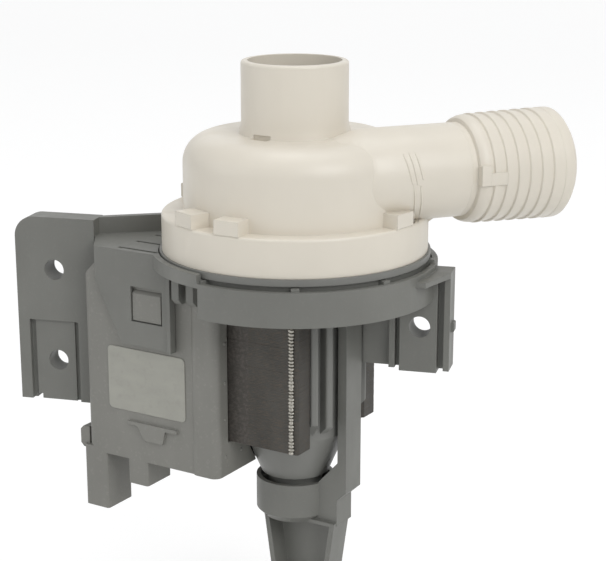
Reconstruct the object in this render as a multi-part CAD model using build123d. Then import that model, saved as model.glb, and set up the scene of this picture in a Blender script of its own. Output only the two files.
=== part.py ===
from build123d import *
import math
import os

os.makedirs("parts", exist_ok=True)

# A washer drain pump with a vertical rotor. Millimetres, +Z up.
# Origin: centre of the inlet mouth. X runs along the mounting ears and Y points to their back.
# The magnet core and its coil box are turned about the rotor axis by stator_turn.

# Shared values
seat_gap = 0.05
free_gap = 0.3
run_gap = 0.06
overrun = 1.0
stator_turn = -17.0

# Volute housing
inlet_od = 32.0
inlet_wall = 2.0
inlet_length = 21.4
inlet_lip_round = 0.9
inlet_root_height = 3.4
inlet_root_flare = 0.7
volute_height = 23.6
volute_wall = 2.5
volute_top_round = 8.5
scroll_radius = 32.8
scroll_step = 0.55
scroll_sectors = 4
scroll_start_angle = 27.0
scroll_sweep = 70.0
skirt_radius = 40.2
skirt_height = 11.3
skirt_wall = 2.6
skirt_top_round = 0.8
lug_angles = (-128.0, -104.0, -23.0, 97.0, 137.0, 161.0)
lug_width = 8.0
lug_depth = 4.4
lug_height = 4.2
inlet_notch_angle = -111.0
inlet_notch_width = 6.0
inlet_notch_depth = 1.2
inlet_notch_reach = 2.4

# Outlet spigot
outlet_angle = 37.0
outlet_od = 28.0
outlet_wall = 2.5
outlet_offset = 20.5
outlet_drop = 32.2
outlet_reach = 76.5
outlet_root = 12.0
outlet_nose = 24.0
barb_start = 36.5
barb_od = 32.6
barb_end_od = 33.6
barb_slope = 2.2
barb_first_land = 7.9
barb_pitch = 3.85
barb_count = 8
barb_groove_width = 0.9
barb_groove_depth = 0.55
mouth_round = 3.2
web_thickness = 3.0
web_reach = 9.0
key_width = 4.6
key_length = 8.4
key_height = 1.3

# Rotor can with the cover plate of the volute
can_floor_thickness = 2.2
can_boss_gap = 0.4
can_boss_wall = 2.2
can_flange_radius = 41.0
can_flange_thickness = 2.0
can_radius = 16.8
can_wall = 1.3
can_straight_end = 113.5
can_cone_end = 128.0
can_cone_radius = 10.6
can_neck_radius = 8.5
can_end = 137.0
can_end_wall = 2.0
fin_angles = (-43.0, -27.0, 27.0, 43.0)
fin_radii = (22.4, 20.4, 20.4, 22.4)
fin_width = 2.6
fin_end_gap = 1.5
fin_start_gap = 4.0
gasket_width = 1.7
gasket_height = 1.8
gasket_depth_below_floor = 4.4

# Bearings, seal and rotor
shaft_radius = 2.0
shaft_top = 38.2
shaft_bottom = 131.5
cap_flange_radius = 18.0
cap_flange_thickness = 1.2
cap_spigot_depth = 3.0
seal_radius = 5.0
front_bearing_radius = 5.5
front_bearing_length = 8.0
front_holder_depth = 11.0
rear_bearing_radius = 4.4
rear_bearing_length = 7.0
rear_holder_radius = 6.5
rear_holder_length = 8.5
magnet_radius = 13.4
magnet_length = 44.0
magnet_top = 68.5
carrier_radius = 6.0
carrier_flange_radius = 10.5
carrier_flange_thickness = 1.4
washer_radius = 4.6
washer_thickness = 1.0

# Impeller and its free-play clutch
impeller_radius = 26.0
impeller_plate = 1.6
impeller_floor_gap = 1.5
impeller_hub_radius = 9.4
impeller_hub_wall = 2.0
impeller_hub_height = 10.0
blade_count = 5
blade_height = 15.5
blade_root_thickness = 2.4
blade_tip_thickness = 1.6
blade_root_round = 0.8
dog_radius = 3.3
dog_arm_radius = 6.6
dog_height = 5.4
dog_angle = 40.0
dog_floor_gap = 0.5
hub_cap_thickness = 1.8
hub_cap_dome = 2.6
hub_cap_spigot = 1.2

# Magnet core
core_top = 71.0
core_bottom = 113.6
leg_outer = 23.3
leg_inner = 12.6
leg_tip = 15.4
leg_back = 55.5
pole_gap = 0.2
yoke_width = 9.5
core_round = 1.0
weld_width = 2.2
weld_height = 0.7
weld_inset = 1.2

# Bobbins and windings
bobbin_front = 15.5
bobbin_back = 44.0
bobbin_wall = 0.8
bobbin_flange_thickness = 1.2
bobbin_flange_reach = 3.3
winding_thickness = 2.7
winding_round = 2.4
cutout_length = 12.0
cutout_width = 6.0
cutout_height = 3.0

# Coil cover
cover_front = 29.0
cover_left = 59.5
cover_right = 9.2
cover_top = 61.5
cover_bottom = 124.4
cover_wall = 1.5
cover_corner_round = 2.6
cover_chamfer = 6.0
cover_leg_gap = 0.4
cover_lip_width = 10.0
cover_lip_step = 0.7
latch_hook_width = 10.6
latch_hook_height = 9.4
latch_hook_reach = 1.1
tray_ledge_drop = 111.4
tray_ledge_thickness = 1.2
tray_ledge_reach = 0.9
tray_latch_width = 10.5
tray_latch_height = 4.4
label_width = 29.2
label_height = 20.4
label_thickness = 0.25
label_round = 1.6
label_left = 50.2
label_top = 88.0

# Connector shrouds
plug_left = 61.0
plug_width = 9.0
plug_depth = 12.2
plug_end = 143.2
plug_wall = 1.2
plug_round = 0.8
plug_nub_width = 2.4
plug_nub_height = 7.0
plug_nub_depth = 7.0
socket_left = 43.7
socket_width = 7.6
socket_depth = 12.2
socket_end = 132.4
blade_terminal_width = 4.8
blade_terminal_thickness = 0.8
blade_terminal_inset = 5.5
blade_terminal_root = 9.0

# Mounting bracket
collar_radius = 43.3
collar_wall = 1.8
collar_top = 59.5
collar_bottom = 69.8
collar_cut = 6.0
web_groove_width = 1.5
web_ring_bore = 18.4
web_ring_thickness = 2.5
web_groove_floor = 60.6
bridge_angles = (-98.0, -58.0, -20.0, 22.0, 58.0, 98.0)
bridge_width = 2.4
hood_top = 56.8
hood_thickness = 2.0
hood_front = 30.5
hood_left = 61.9
hood_front_left = 53.3
hood_side_end = 18.9
hood_slot_length = 15.0
hood_slot_width = 1.3
hood_slot_rows = (-27.6, -18.6, -9.0, 9.0, 18.6, 27.6)
hood_slot_left = 46.0
tongue_thickness = 1.2
tongue_left_drop = 67.0
tongue_foot_left = 43.5
tongue_foot = 86.3
tongue_right = 24.0
tongue_rib_width = 1.3
tongue_rib_height = 1.4
window_left = 39.6
window_right = 28.0
window_height = 11.0
window_margin = 7.7
post_places = (20.6, 15.4)
post_width = 2.6
post_depth = 3.2
post_foot = 70.0
ear_front = 3.0
ear_back = 5.0
ear_plate = 3.0
ear_rim = 2.2
ear_hole_radius = 3.25
ear_boss_wall = 2.6
left_ear_end = 90.8
left_ear_root = 64.0
left_ear_top = 51.4
left_ear_bottom = 111.6
left_ear_round = 6.5
left_hole_x = 77.9
left_hole_top = 68.2
left_hole_spacing = 30.0
left_notch_x = 85.0
left_notch_width = 2.2
left_notch_height = 1.6
panel_left = 87.0
panel_right = 70.4
panel_top = 85.0
panel_depth = 0.9
panel_groove = 1.6
ridge_angle = 27.0
ridge_length = 27.5
ridge_thickness = 2.4
right_ear_start = 21.4
right_ear_end = 48.4
right_ear_top = 61.0
right_ear_bottom = 91.5
right_hole_x = 39.3
right_hole_drop = 78.2
right_pad_left = 33.2
right_pad_right = 44.6
right_pad_drop = 0.8
right_rib_x = 30.0
right_rib_width = 1.8
right_nub_drop = 77.0
right_nub_height = 3.0
right_nub_reach = 0.9
gusset_front = 16.0
gusset_thickness = 1.6
arm_inner = 18.0
arm_outer = 21.0
arm_width = 9.0
arm_step_top = 131.0
arm_step_bottom = 134.0
cup_radius = 12.2
cup_wall = 1.4
cup_rim = 129.6
cup_bottom = 142.6
cup_floor = 2.4
cup_bevel = 2.4
cup_rib_count = 8
cup_rib_width = 1.0
cup_rise = 8.0
leg_left_top = 8.0
leg_right_top = 17.8
leg_left_foot = 3.4
leg_right_foot = 13.2
leg_foot = 178.0
leg_nose = 5.0
leg_front = 6.0
leg_rear = 3.0
leg_wall = 1.8
leg_web = 2.2

# Levels, all measured down from the inlet mouth
volute_top_z = -inlet_length
skirt_top_z = volute_top_z - volute_height
skirt_bottom_z = skirt_top_z - skirt_height
chamber_radius = scroll_radius - volute_wall
skirt_bore = skirt_radius - skirt_wall
boss_radius = skirt_bore - can_boss_gap
floor_z = skirt_top_z - volute_wall - free_gap
flange_bottom_z = skirt_bottom_z - can_flange_thickness
flange_top_z = skirt_bottom_z
web_ring_bottom_z = flange_bottom_z - web_ring_thickness
web_ring_radius = collar_radius - collar_wall - web_groove_width
window_bottom = tongue_foot - window_margin
window_top = window_bottom - window_height
outlet_z = -outlet_drop
well_radius = can_radius - can_wall
cap_bottom_z = floor_z - cap_spigot_depth
holder_bottom_z = cap_bottom_z - front_holder_depth
rear_pocket_top_z = -can_end + can_end_wall + rear_holder_length
magnet_bottom = magnet_top + magnet_length
impeller_bottom_z = floor_z + impeller_floor_gap
impeller_plate_z = impeller_bottom_z + impeller_plate
hub_top_z = impeller_bottom_z + impeller_hub_height
shrouds = ((plug_left, plug_width, plug_depth, plug_end), (socket_left, socket_width, socket_depth, socket_end))
outlet_axis = Location((0, 0, outlet_z), (0, 0, outlet_angle)) * Location((0, -outlet_offset, 0))


def turned(piece):
    """Turn a piece of the magnet core or coil box from its own axes to the part's."""
    return Rot(0, 0, stator_turn) * piece


def tube(outer, inner, bottom, top):
    """A plain round sleeve on the rotor axis."""
    height = top - bottom
    middle = Pos(0, 0, (bottom + top) / 2)
    return middle * (Cylinder(outer, height) - Cylinder(inner, height + overrun))


def disc(radius, bottom, top):
    """A plain round bar on the rotor axis."""
    return Pos(0, 0, (bottom + top) / 2) * Cylinder(radius, top - bottom)


def block(x0, x1, y0, y1, z0, z1):
    """A block between two corners."""
    centre = Pos((x0 + x1) / 2, (y0 + y1) / 2, (z0 + z1) / 2)
    return centre * Box(x1 - x0, y1 - y0, z1 - z0)


def turn_profile(points):
    """A solid of revolution about Z from an outline of (radius, height) points."""
    face = make_face(Polyline(*[(radius, 0, height) for radius, height in points], close=True))
    return revolve(face, Axis.Z)


def side_profile(points, y0, y1):
    """An outline drawn in X and Z, thickened from y0 to y1."""
    face = make_face(Polyline(*[(x, y0, z) for x, z in points], close=True))
    return extrude(face, amount=y1 - y0, dir=(0, 1, 0))


def plan_profile(points, bottom, top):
    """An outline drawn in X and Y, thickened from bottom to top."""
    face = make_face(Polyline(*[(x, y, bottom) for x, y in points], close=True))
    return extrude(face, amount=top - bottom, dir=(0, 0, 1))


def sector(angle, half_angle, inner, outer, bottom, top):
    """A wedge of a sleeve, centred on a direction."""
    reach = outer / math.cos(math.radians(half_angle)) + overrun
    left = math.radians(angle - half_angle)
    right = math.radians(angle + half_angle)
    corners = [(0, 0), (reach * math.cos(left), reach * math.sin(left)),
               (reach * math.cos(right), reach * math.sin(right))]
    return plan_profile(corners, bottom, top) & tube(outer, inner, bottom, top)


def scroll(start_radius, bottom, top, edge_round):
    """The scroll: four turned sectors whose centres step so that the radius grows smoothly."""
    body = disc(start_radius - edge_round, bottom, top)
    cx = 0.0
    cy = 0.0
    radius = start_radius
    for index in range(scroll_sectors):
        start = scroll_start_angle + index * scroll_sweep
        last = index == scroll_sectors - 1
        sweep = 360 - scroll_sweep * index if last else scroll_sweep
        outline = [Line((0, 0, bottom), (radius, 0, bottom)),
                   Line((radius, 0, bottom), (radius, 0, top - edge_round)),
                   ThreePointArc((radius, 0, top - edge_round),
                                 (radius - edge_round * (1 - math.sqrt(0.5)), 0,
                                  top - edge_round * (1 - math.sqrt(0.5))),
                                 (radius - edge_round, 0, top)),
                   Line((radius - edge_round, 0, top), (0, 0, top)),
                   Line((0, 0, top), (0, 0, bottom))]
        wedge = revolve(make_face(Wire(outline)), Axis.Z, sweep)
        body += Pos(cx, cy, 0) * Rot(0, 0, start) * wedge
        end = math.radians(start + scroll_sweep)
        cx -= scroll_step * math.cos(end)
        cy -= scroll_step * math.sin(end)
        radius += scroll_step
    return body


def along_outlet(points):
    """A solid turned about the outlet axis from (radius, distance) points."""
    face = make_face(Polyline(*[(reach, radius, 0) for radius, reach in points], close=True))
    return outlet_axis * revolve(face, Axis.X)


def outlet_outside():
    radius = outlet_od / 2
    tip = barb_end_od / 2
    points = [(0, -outlet_root), (radius * 0.55, -outlet_root * 0.8), (radius, outlet_nose - outlet_root),
              (radius, barb_start), (barb_od / 2, barb_start + barb_slope),
              (tip, outlet_reach - mouth_round * 2), (tip - mouth_round * 0.3, outlet_reach - mouth_round * 0.6),
              (tip - mouth_round * 0.8, outlet_reach), (0, outlet_reach)]
    body = along_outlet(points)
    growth = (barb_end_od - barb_od) / 2 / (outlet_reach - barb_start)
    for index in range(barb_count):
        place = barb_start + barb_first_land + index * barb_pitch
        surface = barb_od / 2 + growth * (place - barb_start)
        floor = surface - barb_groove_depth
        side = barb_groove_width / 2
        body -= along_outlet([(floor, place - side / 2), (surface + overrun, place - side),
                              (surface + overrun, place + side), (floor, place + side / 2)])
    return body


def volute_housing():
    body = scroll(scroll_radius, skirt_top_z, volute_top_z, volute_top_round)
    skirt = disc(skirt_radius, skirt_bottom_z, skirt_top_z)
    skirt = fillet(skirt.edges().sort_by(Axis.Z)[-1:], skirt_top_round)
    body += skirt
    inlet = disc(inlet_od / 2, volute_top_z - volute_wall, 0)
    inlet = fillet(inlet.edges().sort_by(Axis.Z)[-1:], inlet_lip_round)
    body += inlet
    root = volute_top_z - volute_wall / 2
    body += turn_profile([(0, root), (inlet_od / 2 + inlet_root_flare, root),
                          (inlet_od / 2 + inlet_root_flare, volute_top_z),
                          (inlet_od / 2, volute_top_z + inlet_root_height), (0, volute_top_z + inlet_root_height)])
    body += outlet_outside()
    for angle in lug_angles:
        inner = scroll_radius - volute_wall
        lug = block(inner, skirt_radius, -lug_width / 2, lug_width / 2,
                    skirt_top_z - overrun, skirt_top_z + lug_height)
        lug = chamfer(lug.edges().filter_by(Axis.Y).sort_by(Axis.X)[-1:], lug_depth / 4)
        body += Rot(0, 0, angle) * lug
    gusset = [(barb_start - web_reach * 2, -outlet_od / 4), (barb_start, -outlet_od / 4),
              (barb_start - overrun, -outlet_od / 2), (barb_start - web_reach, -outlet_od / 2 - web_reach / 2),
              (barb_start - web_reach * 2, -outlet_od / 2 - web_reach / 2)]
    body += outlet_axis * side_profile(gusset, -web_thickness / 2, web_thickness / 2)
    key = block(barb_start + barb_first_land - key_width, barb_start + barb_first_land + key_length,
                -barb_od / 2 - key_height, 0, -key_width / 2, key_width / 2)
    body += outlet_axis * (key & (Rot(0, 90, 0) * Cylinder(barb_od / 2 + key_height / 2, outlet_reach * 2)))
    chamber = scroll(chamber_radius, skirt_top_z - volute_wall, volute_top_z - volute_wall,
                     volute_top_round - volute_wall)
    body -= chamber
    body -= disc(skirt_bore, skirt_bottom_z - overrun, floor_z + free_gap)
    body -= disc(chamber_radius, skirt_bottom_z, skirt_top_z)
    body -= disc(inlet_od / 2 - inlet_wall, volute_top_z - volute_wall - overrun, overrun)
    bore = outlet_od / 2 - outlet_wall
    body -= along_outlet([(0, 0), (bore, 0), (bore, outlet_reach + overrun), (0, outlet_reach + overrun)])
    notch = block(inlet_od / 2, inlet_od / 2 + inlet_notch_reach, -inlet_notch_width / 2, inlet_notch_width / 2,
                  volute_top_z - inlet_notch_depth, volute_top_z + overrun)
    body -= Rot(0, 0, inlet_notch_angle) * notch
    return body


def volute_gasket():
    outer = skirt_bore - seat_gap
    top = floor_z - gasket_depth_below_floor
    return tube(outer, outer - gasket_width, top - gasket_height, top)


def rotor_can():
    boss_inner = boss_radius - can_boss_wall
    cone_inner = can_cone_radius - can_wall
    pocket = rear_holder_radius
    body = turn_profile([
        (cap_flange_radius, floor_z), (boss_radius, floor_z), (boss_radius, flange_top_z),
        (can_flange_radius, flange_top_z), (can_flange_radius, flange_bottom_z),
        (boss_inner, flange_bottom_z), (boss_inner, floor_z - can_floor_thickness),
        (can_radius, floor_z - can_floor_thickness), (can_radius, -can_straight_end),
        (can_cone_radius, -can_cone_end), (can_neck_radius, -can_cone_end),
        (can_neck_radius, -can_end), (0, -can_end), (0, -can_end + can_end_wall),
        (pocket, -can_end + can_end_wall), (pocket, rear_pocket_top_z),
        (cone_inner, rear_pocket_top_z), (well_radius, -can_straight_end),
        (well_radius, floor_z - cap_flange_thickness), (cap_flange_radius, floor_z - cap_flange_thickness)])
    gasket_top = floor_z - gasket_depth_below_floor
    groove_floor = skirt_bore - seat_gap - gasket_width - seat_gap
    body -= tube(boss_radius + overrun, groove_floor, gasket_top - gasket_height - seat_gap,
                 gasket_top + seat_gap)
    fin_top = web_ring_bottom_z - fin_start_gap
    fin_bottom = -can_straight_end + fin_end_gap
    root = can_radius - can_wall / 2
    for angle, reach in zip(fin_angles, fin_radii):
        outline = [(root, fin_top), (reach, fin_top), (reach, fin_bottom + reach - can_radius), (root, fin_bottom)]
        fin = side_profile(outline, -fin_width / 2, fin_width / 2)
        fin = fillet(fin.edges().filter_by(Axis.Z).sort_by(Axis.X)[-2:], fin_width / 3)
        body += Rot(0, 0, angle + stator_turn) * fin
    return body


def front_bearing_cap():
    return turn_profile([
        (seal_radius, floor_z), (cap_flange_radius - seat_gap, floor_z),
        (cap_flange_radius - seat_gap, floor_z - cap_flange_thickness),
        (well_radius - seat_gap, floor_z - cap_flange_thickness), (well_radius - seat_gap, cap_bottom_z),
        (shaft_radius + free_gap, cap_bottom_z), (shaft_radius + free_gap, cap_bottom_z + washer_thickness),
        (seal_radius, cap_bottom_z + washer_thickness)])


def shaft_seal():
    bottom = cap_bottom_z + washer_thickness
    lip = shaft_radius + run_gap
    outer = seal_radius - seat_gap
    return turn_profile([(lip, bottom), (outer, bottom), (outer, floor_z), (outer * 0.75, floor_z),
                         (outer * 0.6, bottom + washer_thickness), (lip + washer_thickness, floor_z), (lip, floor_z)])


def front_bearing_holder():
    outer = well_radius - seat_gap
    bore = front_bearing_radius + seat_gap
    waist = (outer + bore) / 2
    thickness = front_holder_depth
    return turn_profile([
        (bore, cap_bottom_z), (outer, cap_bottom_z), (outer, cap_bottom_z - thickness * 0.25),
        (waist, cap_bottom_z - thickness * 0.35), (waist, holder_bottom_z + thickness * 0.25),
        (outer, holder_bottom_z + thickness * 0.15), (outer, holder_bottom_z), (bore, holder_bottom_z)])


def front_bearing():
    bottom = cap_bottom_z - front_bearing_length
    return tube(front_bearing_radius, shaft_radius + run_gap, bottom, cap_bottom_z)


def rear_bearing_holder():
    bottom = -can_end + can_end_wall
    outer = rear_holder_radius - seat_gap
    return tube(outer, rear_bearing_radius + seat_gap, bottom, bottom + rear_holder_length)


def rear_bearing():
    bottom = -can_end + can_end_wall
    return tube(rear_bearing_radius, shaft_radius + run_gap, bottom, bottom + rear_bearing_length)


def rotor_shaft():
    shaft = disc(shaft_radius, -shaft_bottom, -shaft_top)
    return chamfer(shaft.edges().filter_by(GeomType.CIRCLE), shaft_radius / 4)


def rotor_magnet():
    magnet = tube(magnet_radius, carrier_radius + seat_gap, -magnet_bottom, -magnet_top)
    flats = magnet.edges().filter_by(GeomType.CIRCLE).sort_by(SortBy.RADIUS)[-2:]
    return chamfer(flats, carrier_flange_thickness / 2)


def magnet_carrier():
    top = -magnet_top + carrier_flange_thickness
    bottom = -magnet_bottom - carrier_flange_thickness
    bore = shaft_radius + seat_gap
    return turn_profile([
        (bore, top), (carrier_flange_radius, top), (carrier_flange_radius, -magnet_top),
        (carrier_radius, -magnet_top), (carrier_radius, -magnet_bottom),
        (carrier_flange_radius, -magnet_bottom), (carrier_flange_radius, bottom), (bore, bottom)])


def thrust_washer(top):
    return tube(washer_radius, shaft_radius + seat_gap, top - washer_thickness, top)


def front_thrust_washer():
    return thrust_washer(-magnet_top + carrier_flange_thickness + washer_thickness)


def rear_thrust_washer():
    return thrust_washer(-magnet_bottom - carrier_flange_thickness)


def drive_dog():
    bottom = impeller_plate_z + dog_floor_gap
    top = bottom + dog_height
    bore = shaft_radius + seat_gap
    body = tube(dog_radius, bore, bottom, top)
    return body + sector(0, dog_angle / 2, bore, dog_arm_radius, bottom, top)


def impeller():
    hub_inner = impeller_hub_radius - impeller_hub_wall
    body = disc(impeller_radius, impeller_bottom_z, impeller_plate_z)
    body = fillet(body.edges().filter_by(GeomType.CIRCLE), impeller_plate / 4)
    body += disc(impeller_hub_radius, impeller_bottom_z, hub_top_z)
    tip = impeller_radius - impeller_plate
    top = impeller_plate_z + blade_height
    for index in range(blade_count):
        outline = [(hub_inner, -blade_root_thickness / 2), (tip, -blade_tip_thickness / 2),
                   (tip, blade_tip_thickness / 2), (hub_inner, blade_root_thickness / 2)]
        blade = plan_profile(outline, impeller_plate_z - impeller_plate / 2, top)
        shoulder = [(hub_inner - overrun, hub_top_z - blade_root_round), (impeller_hub_radius, hub_top_z),
                    (tip * 0.62, top), (tip * 0.62, top + overrun), (hub_inner - overrun, top + overrun)]
        blade -= side_profile(shoulder, -blade_root_thickness, blade_root_thickness)
        body += Rot(0, 0, index * 360 / blade_count) * blade
    body -= disc(hub_inner, impeller_plate_z, hub_top_z + overrun)
    body -= disc(shaft_radius + run_gap, impeller_bottom_z - overrun, impeller_plate_z + overrun)
    stop = sector(180, dog_angle / 2, dog_radius + free_gap, hub_inner + impeller_hub_wall / 2,
                  impeller_plate_z - impeller_plate / 2, impeller_plate_z + dog_floor_gap + dog_height)
    return body + stop


def impeller_hub_cap():
    spigot = impeller_hub_radius - impeller_hub_wall - seat_gap
    rim = hub_top_z + hub_cap_thickness
    return turn_profile([
        (0, hub_top_z - hub_cap_spigot), (spigot, hub_top_z - hub_cap_spigot), (spigot, hub_top_z),
        (impeller_hub_radius, hub_top_z), (impeller_hub_radius, rim),
        (impeller_hub_radius * 0.7, rim + hub_cap_dome * 0.6), (impeller_hub_radius * 0.35, rim + hub_cap_dome * 0.92),
        (0, rim + hub_cap_dome)])


def core_leg(side):
    """One pole leg of the core: side is -1 for the front one and 1 for the rear one."""
    near = min(side * leg_inner, side * leg_outer)
    far = max(side * leg_inner, side * leg_outer)
    leg = block(-leg_back, leg_tip, near, far, -core_bottom, -core_top)
    outer_edges = leg.edges().filter_by(Axis.Z).sort_by(Axis.X)[-2:]
    corner = outer_edges.sort_by(Axis.Y)[0 if side < 0 else -1]
    leg = fillet(corner, core_round)
    leg -= disc(can_radius + pole_gap, -core_bottom - overrun, -core_top + overrun)
    for angle, reach in zip(fin_angles, fin_radii):
        slot = block(can_radius / 2, reach + overrun, -fin_width / 2 - pole_gap, fin_width / 2 + pole_gap,
                     -core_bottom - overrun, -core_top + overrun)
        leg -= Rot(0, 0, angle) * slot
    return leg.solids().sort_by(SortBy.VOLUME)[-1]


def front_core_leg():
    return turned(core_leg(-1))


def rear_core_leg():
    return turned(core_leg(1))


def core_yoke():
    yoke = block(-leg_back, -leg_back + yoke_width, -leg_inner, leg_inner, -core_bottom, -core_top)
    return turned(yoke)


def core_weld():
    """The weld bead that ties the plates of the front leg, seen near its tip."""
    centre = leg_tip - core_round - weld_inset
    half = weld_width / 2
    outline = [Line((centre - half, -leg_outer, -core_bottom), (centre + half, -leg_outer, -core_bottom)),
               ThreePointArc((centre + half, -leg_outer, -core_bottom),
                             (centre, -leg_outer - weld_height, -core_bottom),
                             (centre - half, -leg_outer, -core_bottom))]
    bead = extrude(make_face(Wire(outline)), amount=core_bottom - core_top, dir=(0, 0, 1))
    return turned(bead)


def leg_sleeve(side, thickness, gap, x0, x1):
    """A square sleeve round one leg of the core."""
    centre = side * (leg_inner + leg_outer) / 2
    half = (leg_outer - leg_inner) / 2 + gap
    outer = block(x0, x1, centre - half - thickness, centre + half + thickness,
                  -core_bottom - gap - thickness, -core_top + gap + thickness)
    inner = block(x0 - overrun, x1 + overrun, centre - half, centre + half,
                  -core_bottom - gap, -core_top + gap)
    return outer, inner


def bobbin(side):
    outer, inner = leg_sleeve(side, bobbin_wall, seat_gap, -bobbin_back, -bobbin_front)
    body = outer
    for x0 in (-bobbin_back, -bobbin_front - bobbin_flange_thickness):
        flange, _ = leg_sleeve(side, bobbin_wall + bobbin_flange_reach, seat_gap, x0, x0 + bobbin_flange_thickness)
        body += fillet(flange.edges().filter_by(Axis.X), winding_round)
    return turned(body - inner)


def winding(side):
    x0 = -bobbin_back + bobbin_flange_thickness + seat_gap
    x1 = -bobbin_front - bobbin_flange_thickness - seat_gap
    outer, inner = leg_sleeve(side, winding_thickness, bobbin_wall + seat_gap * 2, x0, x1)
    outer = fillet(outer.edges().filter_by(Axis.X), winding_round)
    return turned(outer - inner)


def front_bobbin():
    return bobbin(-1)


def rear_bobbin():
    return bobbin(1)


def front_winding():
    return winding(-1)


def rear_winding():
    return winding(1)


def thermal_cutout():
    centre_x = -(bobbin_front + bobbin_back) / 2
    centre_y = (leg_inner + leg_outer) / 2
    bottom = -core_bottom - bobbin_wall - seat_gap * 2 - winding_thickness
    cutout = block(centre_x - cutout_length / 2, centre_x + cutout_length / 2, centre_y - cutout_width / 2,
                   centre_y + cutout_width / 2, bottom - cutout_height, bottom)
    return turned(fillet(cutout.edges().filter_by(Axis.Z), cutout_height / 3))


def coil_cover():
    body = block(-cover_left, -cover_right, -cover_front, cover_front, -cover_bottom, -cover_top)
    body = fillet(body.edges().filter_by(Axis.Z), cover_corner_round)
    left = -cover_left - overrun
    top = -cover_top + overrun
    slant = cover_chamfer + overrun * 2
    body -= side_profile([(left, top), (left + slant, top), (left, top - slant)],
                         -cover_front - overrun, cover_front + overrun)
    lip = block(-cover_right - cover_lip_width, -cover_right, -cover_front - cover_lip_step,
                cover_front + cover_lip_step, -cover_bottom, -cover_top)
    body += fillet(lip.edges().filter_by(Axis.Z), cover_corner_round)
    outline = [(-cover_left + cover_wall, -cover_bottom + cover_wall),
               (-cover_right - cover_wall, -cover_bottom + cover_wall),
               (-cover_right - cover_wall, -cover_top - cover_wall),
               (-cover_left + cover_chamfer + cover_wall, -cover_top - cover_wall),
               (-cover_left + cover_wall, -cover_top - cover_chamfer - cover_wall)]
    inside = side_profile(outline, -cover_front + cover_wall, cover_front - cover_wall)
    body -= inside
    for side in (-1, 1):
        _, window = leg_sleeve(side, 0, cover_leg_gap, -cover_right - cover_wall, -cover_right)
        body -= window
    clear = cover_leg_gap
    body -= turn_profile([
        (0, -cover_top + overrun), (can_radius + clear, -cover_top + overrun),
        (can_radius + clear, -can_straight_end), (can_cone_radius + clear, -can_cone_end), (0, -can_cone_end)])
    for y0 in (-cover_front - latch_hook_reach, cover_front - cover_wall / 2):
        hook = block(-window_left + free_gap, -window_left + free_gap + latch_hook_width, y0,
                     y0 + latch_hook_reach + cover_wall / 2, -window_bottom + free_gap,
                     -window_bottom + free_gap + latch_hook_height)
        sign = -1 if y0 < 0 else 1
        slope = hook.edges().filter_by(Axis.X).sort_by(Axis.Z)[-2:].sort_by(Axis.Y)[0 if sign < 0 else -1]
        body += chamfer(slope, latch_hook_reach * 0.8)
    body += tray_details()
    body += plug_shroud() + socket_shroud()
    body -= plug_bore()
    body -= socket_bore()
    for left, width, depth, end in shrouds:
        body -= terminal(left, width, depth, end, seat_gap)
    return turned(body)


def tray_details():
    """The ledge and the moulded latch below the label."""
    ledge = block(-tongue_foot_left + tray_ledge_reach, -tongue_right, -cover_front - tray_ledge_reach,
                  -cover_front + cover_wall / 2, -tray_ledge_drop - tray_ledge_thickness, -tray_ledge_drop)
    centre = -(tongue_foot_left + tongue_right) / 2
    half = tray_latch_width / 2
    top = -tray_ledge_drop - tray_ledge_thickness
    bottom = top - tray_latch_height
    latch = side_profile([(centre - half, top), (centre + half, top), (centre + half * 0.8, bottom),
                          (centre - half * 0.5, bottom)], -cover_front - tray_ledge_reach, -cover_front + cover_wall / 2)
    return ledge + latch


def shroud(left, width, depth, end):
    body = block(-left, -left + width, -cover_front, -cover_front + depth, -end, -cover_bottom + cover_wall)
    return fillet(body.edges().filter_by(Axis.Z), plug_round)


def plug_shroud():
    body = shroud(plug_left, plug_width, plug_depth, plug_end)
    nub = block(-plug_left - plug_nub_width, -plug_left + plug_wall, -cover_front + plug_wall,
                -cover_front + plug_wall + plug_nub_depth, -cover_bottom, -cover_bottom + plug_nub_height)
    return body + chamfer(nub.edges().filter_by(Axis.Y).sort_by(Axis.X)[:2], plug_nub_width / 2)


def plug_bore():
    return block(-plug_left + plug_wall, -plug_left + plug_width - plug_wall, -cover_front + plug_wall,
                 -cover_front + plug_depth - plug_wall, -plug_end - overrun, -cover_bottom)


def socket_shroud():
    return shroud(socket_left, socket_width, socket_depth, socket_end)


def socket_bore():
    return block(-socket_left + plug_wall, -socket_left + socket_width - plug_wall, -cover_front + plug_wall,
                 -cover_front + socket_depth - plug_wall, -socket_end - overrun, -cover_bottom)


def terminal(left, width, depth, end, grow):
    """A flat blade that stands in the cover's floor and hangs into a connector shroud."""
    x = -left + width / 2
    y = -cover_front + depth / 2
    foot = max(-end + blade_terminal_inset, -cover_bottom - blade_terminal_root)
    half_thickness = blade_terminal_thickness / 2 + grow
    half_width = blade_terminal_width / 2 + grow
    return block(x - half_thickness, x + half_thickness, y - half_width, y + half_width, foot,
                 -cover_bottom + cover_wall * 2)


def plug_terminal():
    return turned(terminal(*shrouds[0], 0))


def socket_terminal():
    return turned(terminal(*shrouds[1], 0))


def rating_label():
    label = block(-label_left, -label_left + label_width, -cover_front - label_thickness, -cover_front,
                  -label_top - label_height, -label_top)
    return turned(fillet(label.edges().filter_by(Axis.Y), label_round))


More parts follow.
